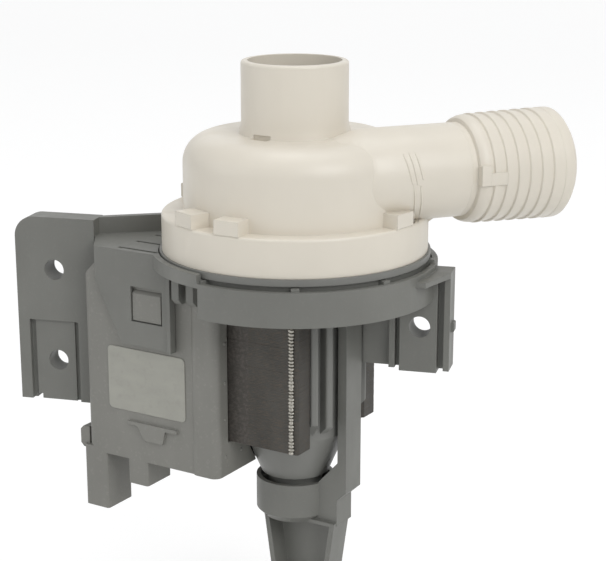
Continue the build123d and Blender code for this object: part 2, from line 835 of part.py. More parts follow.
def bracket_ring():
    """The web under the can's flange, the collar round it and the small bridges between them."""
    groove = collar_radius - collar_wall
    ring = turn_profile([
        (web_ring_bore, flange_bottom_z), (web_ring_radius, flange_bottom_z),
        (web_ring_radius, -web_groove_floor), (groove, -web_groove_floor), (groove, -collar_top),
        (collar_radius, -collar_top), (collar_radius, -collar_bottom), (groove, -collar_bottom),
        (groove, web_ring_bottom_z), (web_ring_bore, web_ring_bottom_z)])
    behind = block(-collar_radius - overrun, -collar_cut, -collar_radius - overrun, collar_radius + overrun,
                   -collar_bottom - overrun, web_ring_bottom_z)
    ring -= behind
    for angle in bridge_angles:
        bridge = block(web_ring_radius - overrun, groove + collar_wall / 2, -bridge_width / 2, bridge_width / 2,
                       -web_groove_floor, flange_bottom_z - free_gap)
        ring += Rot(0, 0, angle) * bridge
    return ring


def hood():
    """The flat hood over the coil box, with its front and rear tongues."""
    outline = [(-hood_front_left, -hood_front), (-tongue_right, -hood_front), (-collar_cut, -collar_radius),
               (-collar_cut, collar_radius), (-tongue_right, hood_front), (-hood_front_left, hood_front),
               (-hood_left, hood_side_end), (-hood_left, -hood_side_end)]
    plate = plan_profile(outline, -hood_top - hood_thickness, -hood_top)
    plate -= disc(can_flange_radius + free_gap, -hood_top - hood_thickness - overrun, -hood_top + overrun)
    rim_outer = can_flange_radius + free_gap + hood_thickness
    plate += tube(rim_outer, can_flange_radius + free_gap, web_ring_bottom_z, -hood_top) & block(
        -rim_outer, -collar_cut, -rim_outer, rim_outer, web_ring_bottom_z, -hood_top)
    for row in hood_slot_rows:
        slot = block(-hood_slot_left, -hood_slot_left + hood_slot_length, row - hood_slot_width / 2,
                     row + hood_slot_width / 2, -hood_top - hood_thickness / 2, -hood_top + overrun)
        plate -= slot
    for side in (-1, 1):
        y0 = min(side * hood_front, side * (hood_front - tongue_thickness))
        y1 = y0 + tongue_thickness
        tongue = side_profile([
            (-hood_front_left, -hood_top), (-hood_front_left, -tongue_left_drop),
            (-tongue_foot_left, -tongue_foot), (-tongue_right, -tongue_foot), (-tongue_right, -hood_top)], y0, y1)
        tongue -= block(-window_left, -window_right, y0 - overrun, y1 + overrun, -window_bottom, -window_top)
        rib0 = min(side * (hood_front - tongue_thickness / 2), side * (hood_front + tongue_rib_height))
        rib1 = rib0 + tongue_thickness / 2 + tongue_rib_height
        tongue += block(-tongue_right - tongue_rib_width, -tongue_right, rib0, rib1, -tongue_foot, -hood_top)
        plate += tongue
        for place in post_places:
            post0 = min(side * hood_front, side * (hood_front + post_depth))
            post = block(-place - post_width / 2, -place + post_width / 2, post0, post0 + post_depth,
                         -post_foot, -hood_top - hood_thickness / 2)
            foot = post.edges().filter_by(Axis.X).sort_by(Axis.Z)[:2].sort_by(Axis.Y)[0 if side < 0 else -1]
            plate += chamfer(foot, post_depth / 2)
    return plate


def hood_ridge():
    """The upstanding ridge from the left ear to the back of the collar."""
    ridge = block(0, ridge_length, 0, ridge_thickness, -hood_top - hood_thickness, -left_ear_top)
    return Pos(-left_ear_root - ear_plate, -ear_front + ear_plate, 0) * Rot(0, 0, ridge_angle) * ridge


def ear_hole(x, drop):
    depth = ear_front + ear_back + overrun * 2
    return Pos(x, 0, -drop) * Rot(90, 0, 0) * Cylinder(ear_hole_radius, depth + ear_back)


def ear_boss(x, drop):
    depth = ear_front + ear_back
    return Pos(x, (ear_back - ear_front) / 2, -drop) * Rot(90, 0, 0) * Cylinder(ear_hole_radius + ear_boss_wall, depth)


def left_ear():
    outer = block(-left_ear_end, -left_ear_root, -ear_front, ear_back, -left_ear_bottom, -left_ear_top)
    corner = outer.edges().filter_by(Axis.Y).sort_by(Axis.Z)[-2:].sort_by(Axis.X)[0]
    outer = fillet(corner, left_ear_round)
    inner = block(-left_ear_end + ear_rim, -left_ear_root - ear_rim, -ear_front + ear_plate, ear_back + overrun,
                  -left_ear_bottom + ear_rim, -left_ear_top - ear_rim)
    corner = inner.edges().filter_by(Axis.Y).sort_by(Axis.Z)[-2:].sort_by(Axis.X)[0]
    body = outer - fillet(corner, left_ear_round - ear_rim)
    drops = (left_hole_top, left_hole_top + left_hole_spacing)
    for drop in drops:
        body += ear_boss(-left_hole_x, drop)
    middle = left_hole_top + left_hole_spacing / 2
    body += block(-left_ear_end + ear_rim / 2, -left_ear_root - ear_rim / 2, -ear_front + ear_plate / 2, ear_back,
                  -middle - ear_rim / 2, -middle + ear_rim / 2)
    body -= block(-panel_left, -panel_right, -ear_front - overrun, -ear_front + panel_depth,
                  -left_ear_bottom - overrun, -panel_top)
    for x in (-panel_left, -panel_right - panel_groove):
        body -= block(x, x + panel_groove, -ear_front - overrun, -ear_front + panel_depth * 2,
                      -left_ear_bottom - overrun, -panel_top)
    body -= block(-left_notch_x - left_notch_width / 2, -left_notch_x + left_notch_width / 2,
                  -ear_front - overrun, ear_back + overrun, -left_ear_bottom - overrun,
                  -left_ear_bottom + left_notch_height)
    for drop in drops:
        body -= ear_hole(-left_hole_x, drop)
    return body


def right_ear():
    front = -ear_front + ear_boss_wall
    body = block(right_ear_start, right_ear_end, front, front + ear_plate, -right_ear_bottom, -right_ear_top)
    pad_bottom = -right_ear_bottom - right_pad_drop
    body += block(right_pad_left, right_pad_right, -ear_front, ear_back, pad_bottom, -right_ear_top)
    for x in (right_rib_x, right_ear_end - right_rib_width):
        body += block(x, x + right_rib_width, -ear_front, ear_back, -right_ear_bottom, -right_ear_top)
    body += block(right_ear_start, right_ear_end, -ear_front, ear_back, -right_ear_top - gusset_thickness,
                  -right_ear_top)
    body += plan_profile([(right_ear_end, ear_back), (right_ear_end, -ear_front),
                          (collar_radius, -gusset_front), (arm_outer, -gusset_front), (arm_outer, ear_back)],
                         -right_ear_top - gusset_thickness, -right_ear_top)
    nub = block(right_ear_end - right_rib_width / 2, right_ear_end + right_nub_reach, 0, right_nub_height,
                -right_nub_drop - right_nub_height, -right_nub_drop)
    body += fillet(nub.edges().filter_by(Axis.Y).sort_by(Axis.X)[-2:], right_nub_reach / 2)
    body -= ear_hole(right_hole_x, right_hole_drop)
    return body


def bracket_arm():
    """The arm down the side of the can, the cup round the can's end and the channel leg below."""
    half = arm_width / 2
    arm = side_profile([
        (arm_inner, web_ring_bottom_z + web_ring_thickness / 2), (arm_outer, web_ring_bottom_z + web_ring_thickness / 2),
        (arm_outer, -arm_step_top), (leg_right_top, -arm_step_bottom), (leg_right_top, -cup_bottom),
        (cup_radius - cup_wall, -cup_bottom), (cup_radius - cup_wall, -cup_rim),
        (arm_inner, -cup_rim + cup_rise)], -half, half)
    cup = turn_profile([
        (0, -cup_bottom), (cup_radius - cup_bevel, -cup_bottom), (cup_radius, -cup_bottom + cup_bevel),
        (cup_radius, -cup_rim), (0, -cup_rim)])
    body = arm + cup
    body -= disc(cup_radius - cup_wall, -cup_bottom + cup_floor, -cup_rim + cup_rise + overrun)
    for index in range(cup_rib_count):
        rib = block(can_neck_radius + seat_gap, cup_radius - cup_wall / 2, -cup_rib_width / 2, cup_rib_width / 2,
                    -cup_bottom + cup_floor / 2, -cup_rim - cup_wall)
        body += Rot(0, 0, (index + 0.5) * 360 / cup_rib_count) * rib
    leg = side_profile([
        (-leg_left_top, -cup_bottom + cup_floor / 2), (leg_right_top, -cup_bottom + cup_floor / 2),
        (leg_right_foot, -leg_foot + leg_nose), (leg_right_foot - leg_nose, -leg_foot),
        (-leg_left_foot + leg_nose, -leg_foot), (-leg_left_foot, -leg_foot + leg_nose)], -leg_front, leg_rear)
    pocket = side_profile([
        (-leg_left_top + leg_wall, -cup_bottom), (leg_right_top - leg_wall, -cup_bottom),
        (leg_right_foot - leg_wall, -leg_foot + leg_nose), (-leg_left_foot + leg_wall, -leg_foot + leg_nose)],
        -leg_front - overrun, leg_rear - leg_web)
    body += leg - pocket
    return body


def mounting_bracket():
    body = turned(bracket_ring() + hood() + bracket_arm())
    body += left_ear() + hood_ridge() + right_ear()
    keep_clear = disc(can_flange_radius + free_gap, flange_bottom_z, -left_ear_top + overrun)
    body -= keep_clear
    return body


nodes = {
    "volute_housing": volute_housing,
    "volute_gasket": volute_gasket,
    "rotor_can": rotor_can,
    "front_bearing_cap": front_bearing_cap,
    "shaft_seal": shaft_seal,
    "front_bearing_holder": front_bearing_holder,
    "front_bearing": front_bearing,
    "rear_bearing_holder": rear_bearing_holder,
    "rear_bearing": rear_bearing,
    "rotor_shaft": rotor_shaft,
    "rotor_magnet": rotor_magnet,
    "magnet_carrier": magnet_carrier,
    "front_thrust_washer": front_thrust_washer,
    "rear_thrust_washer": rear_thrust_washer,
    "drive_dog": drive_dog,
    "impeller": impeller,
    "impeller_hub_cap": impeller_hub_cap,
    "front_core_leg": front_core_leg,
    "rear_core_leg": rear_core_leg,
    "core_yoke": core_yoke,
    "core_weld": core_weld,
    "front_bobbin": front_bobbin,
    "rear_bobbin": rear_bobbin,
    "front_winding": front_winding,
    "rear_winding": rear_winding,
    "thermal_cutout": thermal_cutout,
    "coil_cover": coil_cover,
    "plug_terminal": plug_terminal,
    "socket_terminal": socket_terminal,
    "rating_label": rating_label,
    "mounting_bracket": mounting_bracket,
}

for name, make in nodes.items():
    shape = make()
    export_step(shape, f"parts/{name}.step")
    print(name, len(shape.solids()), round(shape.volume), flush=True)
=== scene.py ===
import math

import bmesh
import bpy
from bpy.props import FloatProperty, FloatVectorProperty, IntProperty, PointerProperty
from mathutils import Matrix, Vector
from mathutils.bvhtree import BVHTree


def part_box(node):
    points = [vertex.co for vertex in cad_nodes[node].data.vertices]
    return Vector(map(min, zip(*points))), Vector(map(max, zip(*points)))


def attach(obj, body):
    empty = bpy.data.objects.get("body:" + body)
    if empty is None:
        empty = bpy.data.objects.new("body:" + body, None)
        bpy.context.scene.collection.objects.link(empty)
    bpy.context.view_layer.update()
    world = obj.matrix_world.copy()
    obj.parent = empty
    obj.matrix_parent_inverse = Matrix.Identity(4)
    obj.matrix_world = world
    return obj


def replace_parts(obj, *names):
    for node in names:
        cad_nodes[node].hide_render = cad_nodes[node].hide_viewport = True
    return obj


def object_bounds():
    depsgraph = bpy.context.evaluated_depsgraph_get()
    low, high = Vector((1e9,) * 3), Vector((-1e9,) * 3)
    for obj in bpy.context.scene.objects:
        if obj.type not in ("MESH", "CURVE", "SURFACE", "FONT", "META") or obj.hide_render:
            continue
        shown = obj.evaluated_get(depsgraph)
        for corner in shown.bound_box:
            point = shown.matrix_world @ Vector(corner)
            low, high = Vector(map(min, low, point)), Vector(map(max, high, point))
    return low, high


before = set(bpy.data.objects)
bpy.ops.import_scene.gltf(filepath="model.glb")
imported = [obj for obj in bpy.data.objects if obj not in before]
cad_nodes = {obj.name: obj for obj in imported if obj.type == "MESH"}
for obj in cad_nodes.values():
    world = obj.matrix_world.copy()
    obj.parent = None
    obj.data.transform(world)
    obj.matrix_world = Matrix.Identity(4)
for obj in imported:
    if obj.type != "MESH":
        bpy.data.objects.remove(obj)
cad_low, cad_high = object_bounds()

bl_info = {
    "name": "Washer drain pump",
    "version": (1, 0, 0),
    "blender": (4, 5, 0),
    "location": "3D View > Sidebar > Drain Pump",
    "description": "Finishes, small moulded details and the studio of a washer drain pump",
    "category": "Object",
}

MILLIMETRE = 0.001

# Points of a CAD mesh nearer to each other than this, in metres, are one point.
MERGE_GAP = 0.000004

# The magnet core, coil cover and bracket arm are turned about the rotor axis by this angle.
STATOR_TURN = math.radians(-17.0)
STATOR = Matrix.Rotation(STATOR_TURN, 4, "Z")

# The browner band on the core beside the coil cover: where it ends along the stator's own X and the length
# over which it fades, in metres, and its two tones. The streaks are on the whole core.
BAND_END = -0.0017
BAND_FADE = 0.0006
BAND_TONES = ((0.07, 0.063, 0.056), (0.112, 0.1, 0.089))
STREAK_TONE = (0.16, 0.125, 0.09)

# The weld bead's width and depth in metres, and the height of a ripple as a share of the pitch.
BEAD_WIDTH = 0.0022
BEAD_DEPTH = 0.0015
RIPPLE_HEIGHT = 1.3

# Rows of mould marks on the volute, each from its upper end to its lower end, in millimetres.
CHEVRON_MARKS = (
    ((35.6, -13.4, -24.2), (38.6, -14.1, -32.8)),
    ((36.9, -12.1, -23.9), (39.9, -13.1, -33.2)),
    ((38.5, -11.0, -23.9), (41.2, -12.1, -31.6)),
)
POST_MARKS = (
    ((38.9, -13.9, -33.0), (38.6, -9.4, -44.6)),
    ((40.6, -12.5, -33.3), (40.3, -8.2, -44.6)),
)

# A mould mark's section, as shares of its half width and of its height.
MARK_SECTION = ((-1, -0.6), (-0.75, 0.35), (-0.35, 0.9), (0, 1.0), (0.35, 0.9), (0.75, 0.35), (1, -0.6))

# Places of the small moulded pips on the coil cover's flange, in metres.
PIP_PLACES = (
    (-0.01615, -0.0213, -0.0824), (-0.01615, -0.0213, -0.0947), (-0.01615, -0.0213, -0.1064),
    (-0.01615, -0.0213, -0.1183), (-0.0137, -0.0133, -0.1184))

# The outlet's axis: it runs along its own X from the middle of the volute.
OUTLET = (Matrix.Translation((0, 0, -0.0322)) @ Matrix.Rotation(math.radians(37.0), 4, "Z")
          @ Matrix.Translation((0, -0.0205, 0)))

# The rest are distances along the outlet and radii about its axis, in millimetres.

# The solid's own tube, barrel and key, and where the shell leaves them.
TUBE_RADIUS = 14.0
SOLID_BARREL = ((36.5, 14.0), (38.7, 16.3), (70.1, 16.8))
SOLID_KEY_RADIUS = 16.95
SHELL_CUT = 42.0

# The shell's barrel: its shoulder, its saw-tooth rings, and its mouth with the bore.
BARREL_SHOULDER = (
    (41.6, 13.95), (42.0, 14.0), (43.5, 14.0), (43.75, 15.1), (44.3, 15.55), (45.4, 15.95), (46.6, 16.12),
    (47.7, 15.78))
BARREL_MOUTH = (
    (71.2, 16.62), (71.45, 16.8), (73.9, 16.8), (74.4, 16.7), (74.8, 16.35), (75.4, 15.65), (75.9, 15.0),
    (76.3, 14.4), (76.5, 13.7), (76.5, 12.2), (76.1, 11.65), (75.5, 11.5), (41.6, 11.55))
BARREL_SIDES = 96
RING_START = 47.7
RING_PITCH = 3.92
RING_COUNT = 6
RING_CREST = 16.36
RING_GROWTH = 0.08
RING_RISE = 0.28
RING_LAND = 1.0
RING_SLOPE = 0.02
RING_FALL = 0.44

# The shell's key: for each step its start and end, and the angles of its sides in degrees.
KEY_STEPS = ((43.45, 46.6, 167.5, 188.2), (46.4, 51.75, 175.2, 188.2))
KEY_RADIUS = 16.62
KEY_DEPTH = 3.0

# The patch beside the inlet: the nose's cone that it follows, its reach along and across the outlet, the
# height of the volute's flat top over the axis, and where the inlet's foot begins.
NOSE_CONE = ((-9.6, 7.7), (12.0, 14.0))
NOSE_PATCH = ((-0.3, 3.9), (-4.5, 4.3))
NOSE_STEPS = 12
NOSE_INSET = 0.02
NOSE_DEPTH = 1.3
VOLUTE_TOP = 10.8
INLET_FOOT = 3.5
FOOT_SLOPE = 0.5

# The point that the lamps look at, and the gap between the pump and the floor, in metres.
LAMP_AIM = (0, 0, -0.08)
FLOOR_GAP = 0.0005


# Settings that a user may change

def colour(name, description, default):
    """A colour setting."""
    return FloatVectorProperty(name=name, description=description, subtype="COLOR", size=3, min=0, max=1,
                               default=default)


def length(name, description, default, low, high):
    """A length setting, in metres."""
    return FloatProperty(name=name, description=description, default=default, min=low, max=high,
                         subtype="DISTANCE", unit="LENGTH", precision=5)


def power(name, description, default):
    """A lamp's power setting, in watts."""
    return FloatProperty(name=name, description=description, default=default, min=0, max=200,
                         subtype="POWER", unit="POWER")


class PumpFinishes(bpy.types.PropertyGroup):
    """Colours and surface of the pump's plastics and metals."""
    volute_cream: colour("Volute cream", "Colour of the moulded volute and outlet", (0.72, 0.668, 0.578))
    bracket_grey: colour("Bracket grey", "Colour of the mounting bracket", (0.178, 0.178, 0.162))
    can_grey: colour("Can grey", "Colour of the rotor can and its cover plate", (0.192, 0.192, 0.178))
    cover_grey: colour("Coil cover grey", "Colour of the coil cover", (0.212, 0.208, 0.188))
    label_grey: colour("Label grey", "Colour of the bare label film", (0.345, 0.34, 0.3))
    core_steel: colour("Core steel", "Colour of the varnished core plates", (0.056, 0.053, 0.047))
    weld_steel: colour("Weld steel", "Colour of the weld bead down the core", (0.5, 0.48, 0.43))
    copper: colour("Winding copper", "Colour of the enamelled winding wire", (0.55, 0.22, 0.09))
    mould_grain: length("Mould grain", "Size of the grain on moulded plastic", 0.0009, 0.0001, 0.01)
    edge_softness: length(
        "Edge softness", "Radius that the light sees along moulded edges", 0.00035, 0, 0.003)


class PumpDetails(bpy.types.PropertyGroup):
    """Sizes of the small repeated details."""
    plate_pitch: length("Plate pitch", "Height of one core plate with its gap", 0.0005, 0.0003, 0.002)
    plate_stagger: length("Plate stagger", "How far a core plate may sit out of line", 0.00003, 0, 0.0003)
    bead_pitch: length(
        "Weld ripple pitch", "Distance between the ripples of the weld bead", 0.00105, 0.0004, 0.003)
    wire_width: length("Wire width", "Width of one turn of winding wire", 0.00085, 0.0004, 0.003)
    mark_width: length("Mould mark width", "Width of the raised marks on the volute", 0.0007, 0.0002, 0.003)
    mark_height: length(
        "Mould mark height", "How far the raised marks stand off the volute", 0.0003, 0.0001, 0.002)
    pip_radius: length(
        "Cover pip radius", "Radius of the pips on the coil cover's flange", 0.0006, 0.0002, 0.003)
    seed: IntProperty(name="Seed", description="Seed of the small irregular offsets", default=7, min=0)


class PumpStudio(bpy.types.PropertyGroup):
    """Camera, lamps and floor."""
    lens: FloatProperty(
        name="Lens", description="Focal length of the camera", default=95.216, min=10, max=300,
        subtype="DISTANCE_CAMERA", unit="CAMERA")
    shift: FloatProperty(
        name="Vertical shift", description="Camera shift that matches the photograph's frame",
        default=0.02369, min=-0.1, max=0.1)
    camera_place: FloatVectorProperty(
        name="Camera place", description="Where the camera stands", size=3,
        default=(0.12233, -0.45653, 0.05826), subtype="TRANSLATION", unit="LENGTH")
    camera_aim: FloatVectorProperty(
        name="Camera aim", description="Direction in which the camera looks", size=3,
        default=(-0.24478, 0.93259, -0.26524), subtype="DIRECTION")
    key_power: power("Key lamp", "Power of the large lamp at the front right", 5.9)
    fill_power: power("Fill lamp", "Power of the lamp at the left", 1.75)
    top_power: power("Top lamp", "Power of the lamp above", 3.0)
    ambient: FloatProperty(
        name="Ambient", description="Strength of the light from all round", default=0.56, min=0, max=3)
    floor_size: length("Floor size", "Width of the floor", 6.0, 1, 50)


# Node helpers

def node(tree, kind, values=None, **modes):
    """A new node with its modes chosen and its unlinked inputs filled."""
    made = tree.nodes.new(kind)
    for mode, choice in modes.items():
        setattr(made, mode, choice)
    for socket, value in (values or {}).items():
        made.inputs[socket].default_value = value
    return made


def link(tree, *joints):
    """Links nodes, each joint given as (node, its output, node, its input)."""
    for source, output, target, socket in joints:
        tree.links.new(source.outputs[output], target.inputs[socket])


def new_material(name):
    """(a new material, its emptied node tree)."""
    made = bpy.data.materials.new(name)
    made.use_nodes = True
    made.node_tree.nodes.clear()
    return made, made.node_tree


# Shader helpers

def new_finish(name):
    """(a new material, its node tree, the Principled shader that is its surface)."""
    made, tree = new_material(name)
    shader = node(tree, "ShaderNodeBsdfPrincipled")
    link(tree, (shader, "BSDF", node(tree, "ShaderNodeOutputMaterial"), "Surface"))
    return made, tree, shader


def coated(made, shader, tone, roughness, normal):
    """The material with its colour, roughness and normal joined to its shader."""
    for name, value in (("Base Color", tone), ("Roughness", roughness), ("Normal", normal)):
        made.node_tree.links.new(value, shader.inputs[name])
    return made


def object_noise(tree, width, detail=2.0, stretch=(1, 1, 1)):
    """Noise on object coordinates whose blots are about width metres wide."""
    place = node(tree, "ShaderNodeTexCoord")
    mapping = node(tree, "ShaderNodeMapping", {"Scale": stretch})
    noise = node(tree, "ShaderNodeTexNoise", {"Scale": 1 / width, "Detail": detail})
    link(tree, (place, "Object", mapping, "Vector"), (mapping, "Vector", noise, "Vector"))
    return noise.outputs["Fac"]


def mapped(tree, value, low, high, from_low=0.3, from_high=0.7):
    """A value spread from one range to another."""
    spread = node(tree, "ShaderNodeMapRange", {
        "From Min": from_low, "From Max": from_high, "To Min": low, "To Max": high})
    tree.links.new(value, spread.inputs["Value"])
    return spread.outputs["Result"]


def tone_mix(tree, factor, first, second):
    """Mix of two colours, each a triple or a socket."""
    mix = node(tree, "ShaderNodeMix", data_type="RGBA")
    for value, socket in ((factor, mix.inputs[0]), (first, mix.inputs[6]), (second, mix.inputs[7])):
        if isinstance(value, bpy.types.NodeSocket):
            tree.links.new(value, socket)
        else:
            socket.default_value = (*value, 1)
    return mix.outputs[2]


def scaled(tone, share):
    """A colour made darker or lighter by a share."""
    return tuple(min(1.0, part * share) for part in tone)


def soft_edges(tree, radius):
    """(rounded normal, how near a point is to an edge from 0 to 1)."""
    bevel = node(tree, "ShaderNodeBevel", {"Radius": radius}, samples=6)
    flat = node(tree, "ShaderNodeNewGeometry")
    dot = node(tree, "ShaderNodeVectorMath", operation="DOT_PRODUCT")
    link(tree, (bevel, "Normal", dot, 0), (flat, "Normal", dot, 1))
    return bevel.outputs["Normal"], mapped(tree, dot.outputs["Value"], 1, 0, from_low=0.8, from_high=0.995)


def bumped(tree, height, distance, normal=None, strength=1.0):
    """A normal that follows a height."""
    bump = node(tree, "ShaderNodeBump", {"Distance": distance, "Strength": strength})
    tree.links.new(height, bump.inputs["Height"])
    if normal is not None:
        tree.links.new(normal, bump.inputs["Normal"])
    return bump.outputs["Normal"]


def moulded_plastic(name, tint, roughness, grain, edge, cloud=0.1, speck=0.0, grain_depth=0.00002,
                    edge_highlight=0.12):
    """Moulded plastic: cloudy colour, fine grain, a painted highlight that lightens every edge, and uneven
    gloss.
    """
    made, tree, shader = new_finish(name)
    clouds = object_noise(tree, width=0.028, detail=3.0)
    flow = object_noise(tree, width=0.006, stretch=(1, 1, 0.35))
    tone = tone_mix(tree, mapped(tree, clouds, 0, 1), scaled(tint, 1 - cloud), scaled(tint, 1 + cloud * 0.7))
    tone = tone_mix(tree, mapped(tree, flow, 0, 0.35), tone, scaled(tint, 1 - cloud * 1.2))
    if speck:
        specks = object_noise(tree, width=0.0011, detail=1.0)
        tone = tone_mix(tree, mapped(tree, specks, 0, speck, 0.6, 0.72), tone, scaled(tint, 1.8))
    rounded, edges = soft_edges(tree, edge)
    # Every edge and crease is painted lighter here: a painted highlight along the edges.
    tone = tone_mix(tree, mapped(tree, edges, 0, edge_highlight, 0, 1), tone, scaled(tint, 1.5))
    fine = object_noise(tree, width=grain)
    return coated(made, shader, tone, mapped(tree, flow, roughness - 0.05, roughness + 0.07),
                  bumped(tree, fine, grain_depth, rounded, strength=0.6))


def plate_steel(name, tint, pitch, edge):
    """Varnished core plates: dark stained steel, pale cut edges and a browner band beside the cover."""
    made, tree, shader = new_finish(name)
    stains = object_noise(tree, width=0.007, detail=4.0, stretch=(1, 1, 0.5))
    streaks = object_noise(tree, width=0.0015, detail=3.0, stretch=(1, 1, 6))
    tone = tone_mix(tree, mapped(tree, stains, 0, 1), scaled(tint, 0.75), scaled(tint, 1.25))
    tone = tone_mix(tree, mapped(tree, streaks, 0, 0.5, 0.45, 0.75), tone, STREAK_TONE)
    place = node(tree, "ShaderNodeTexCoord")
    square = node(tree, "ShaderNodeMapping", {"Rotation": (0, 0, -STATOR_TURN)})
    axes = node(tree, "ShaderNodeSeparateXYZ")
    link(tree, (place, "Object", square, "Vector"), (square, "Vector", axes, "Vector"))
    beside = mapped(tree, axes.outputs["X"], 0.75, 0, BAND_END - BAND_FADE, BAND_END)
    specks = object_noise(tree, width=0.0009)
    band = tone_mix(tree, mapped(tree, specks, 0, 1, 0.45, 0.62), *BAND_TONES)
    tone = tone_mix(tree, beside, tone, band)
    rounded, edges = soft_edges(tree, edge)
    tone = tone_mix(tree, mapped(tree, edges, 0, 0.35, 0, 1), tone, scaled(tint, 2.4))
    shader.inputs["Metallic"].default_value = 0.4
    fine = object_noise(tree, width=pitch, stretch=(0.6, 0.6, 2))
    return coated(made, shader, tone, mapped(tree, streaks, 0.34, 0.6), bumped(tree, fine, 0.00003, rounded))


def bare_metal(name, tint, roughness, grain, lay=(1, 1, 1), stain=0.25):
    """Bare metal with brushed or cast grain along its lay."""
    made, tree, shader = new_finish(name)
    brushed = object_noise(tree, width=grain, detail=3.0, stretch=lay)
    blots = object_noise(tree, width=grain * 9)
    tone = tone_mix(tree, mapped(tree, brushed, 0, 1), scaled(tint, 1 - stain), scaled(tint, 1 + stain * 0.6))
    tone = tone_mix(tree, mapped(tree, blots, 0, stain), tone, scaled(tint, 0.6))
    shader.inputs["Metallic"].default_value = 1.0
    return coated(made, shader, tone, mapped(tree, brushed, roughness - 0.08, roughness + 0.12),
                  bumped(tree, brushed, 0.00002))


def enamelled_copper(name, tint, width):
    """Enamelled copper wire with its red and gold tones from turn to turn."""
    made, tree, shader = new_finish(name)
    turns = object_noise(tree, width=width * 1.4, detail=1.0, stretch=(0.3, 0.3, 1))
    tone = tone_mix(tree, mapped(tree, turns, 0, 1), scaled(tint, 0.7), (0.75, 0.36, 0.14))
    for socket, value in (("Metallic", 0.85), ("Coat Weight", 0.6), ("Coat Roughness", 0.15)):
        shader.inputs[socket].default_value = value
    return coated(made, shader, tone, mapped(tree, turns, 0.24, 0.36), bumped(tree, turns, 0.00002))


def rubber(name, tint):
    """Black seal rubber with a dusty bloom."""
    made, tree, shader = new_finish(name)
    bloom = object_noise(tree, width=0.0035, detail=4.0)
    fine = object_noise(tree, width=0.0004)
    return coated(made, shader, tone_mix(tree, mapped(tree, bloom, 0, 1), tint, scaled(tint, 2.2)),
                  mapped(tree, bloom, 0.6, 0.85), bumped(tree, fine, 0.00002))


def fired_ceramic(name, tint, roughness):
    """Ground ceramic or ferrite with fine pores."""
    made, tree, shader = new_finish(name)
    pores = object_noise(tree, width=0.0007, detail=4.0)
    marks = object_noise(tree, width=0.005, stretch=(1, 1, 0.2))
    tone = tone_mix(tree, mapped(tree, marks, 0, 1), scaled(tint, 0.85), scaled(tint, 1.12))
    tone = tone_mix(tree, mapped(tree, pores, 0, 0.5, 0.6, 0.75), tone, scaled(tint, 0.5))
    return coated(made, shader, tone, mapped(tree, pores, roughness - 0.06, roughness + 0.1),
                  bumped(tree, pores, 0.00002))


def label_film(name, tint, edge):
    """Bare label film: a smooth pale face with faint wrinkles and dust."""
    made, tree, shader = new_finish(name)
    dust = object_noise(tree, width=0.002, detail=5.0)
    wrinkle = object_noise(tree, width=0.009, stretch=(1, 1, 2))
    tone = tone_mix(tree, mapped(tree, wrinkle, 0, 1), scaled(tint, 0.94), scaled(tint, 1.05))
    tone = tone_mix(tree, mapped(tree, dust, 0, 0.3, 0.55, 0.75), tone, scaled(tint, 0.72))
    rounded, edges = soft_edges(tree, edge)
    tone = tone_mix(tree, mapped(tree, edges, 0, 0.25, 0, 1), tone, scaled(tint, 0.75))
    return coated(made, shader, tone, mapped(tree, wrinkle, 0.36, 0.48),
                  bumped(tree, wrinkle, 0.00012, rounded, strength=0.5))


# Mesh helpers

def need(condition, message):
    """Stops the script when a piece can't be made."""
    if not condition:
        raise RuntimeError(message)


def paint(obj, material):
    """One material over the whole of an object."""
    obj.data.materials.clear()
    obj.data.materials.append(material)


def paint_nodes(names, material):
    """The same finish on several CAD nodes."""
    for name in names:
        need(name in cad_nodes, f"the frame has no node {name}")
        paint(cad_nodes[name], material)


def shade_smooth(mesh):
    """Smooth shading over a whole mesh."""
    for face in mesh.polygons:
        face.use_smooth = True


def made_mesh(name, work):
    """A mesh made from a bmesh, which is then freed."""
    mesh = bpy.data.meshes.new(name)
    work.to_mesh(mesh)
    work.free()
    return mesh


def skin(out, rows, around=False, back_to_first=False):
    """Faces from each row of points to the next, also round each row or back to the first row where asked."""
    count = len(rows[0])
    for first, second in zip(rows, rows[1:] + rows[:1] if back_to_first else rows[1:]):
        for place in range(count if around else count - 1):
            after = (place + 1) % count
            out.faces.new((first[place], first[after], second[after], second[place]))


def merged_copy(name):
    """A CAD node's mesh with its loose triangles joined and its flat faces made whole."""
    need(name in cad_nodes, f"the frame has no node {name}")
    work = bmesh.new()
    work.from_mesh(cad_nodes[name].data)
    bmesh.ops.remove_doubles(work, verts=work.verts, dist=MERGE_GAP)
    bmesh.ops.dissolve_limit(work, angle_limit=math.radians(0.5), verts=work.verts, edges=work.edges)
    return work


def stator_box(name):
    """Lower and upper corner of a CAD node along the stator's own axes."""
    back = STATOR.inverted()
    spots = [back @ vert.co for vert in cad_nodes[name].data.vertices]
    return [Vector([pick(spot[axis] for spot in spots) for axis in range(3)]) for pick in (min, max)]


def bottom_face(name):
    """The flat face at a CAD node's lower end, turned to look up, as a mesh."""
    slack = 0.00002
    work = merged_copy(name)
    level = min(vert.co.z for vert in work.verts)
    away = [face for face in work.faces if any(abs(vert.co.z - level) > slack for vert in face.verts)]
    bmesh.ops.delete(work, geom=away, context="FACES")
    need(work.faces, f"{name} has no flat end face")
    for face in work.faces:
        if face.normal.z < 0:
            face.normal_flip()
    return made_mesh(name + "_outline", work)


def linked(name, data):
    """A new object at the origin that shows a mesh, or holds a lamp or the camera."""
    obj = bpy.data.objects.new(name, data)
    bpy.context.scene.collection.objects.link(obj)
    return obj


# Geometry Nodes helpers

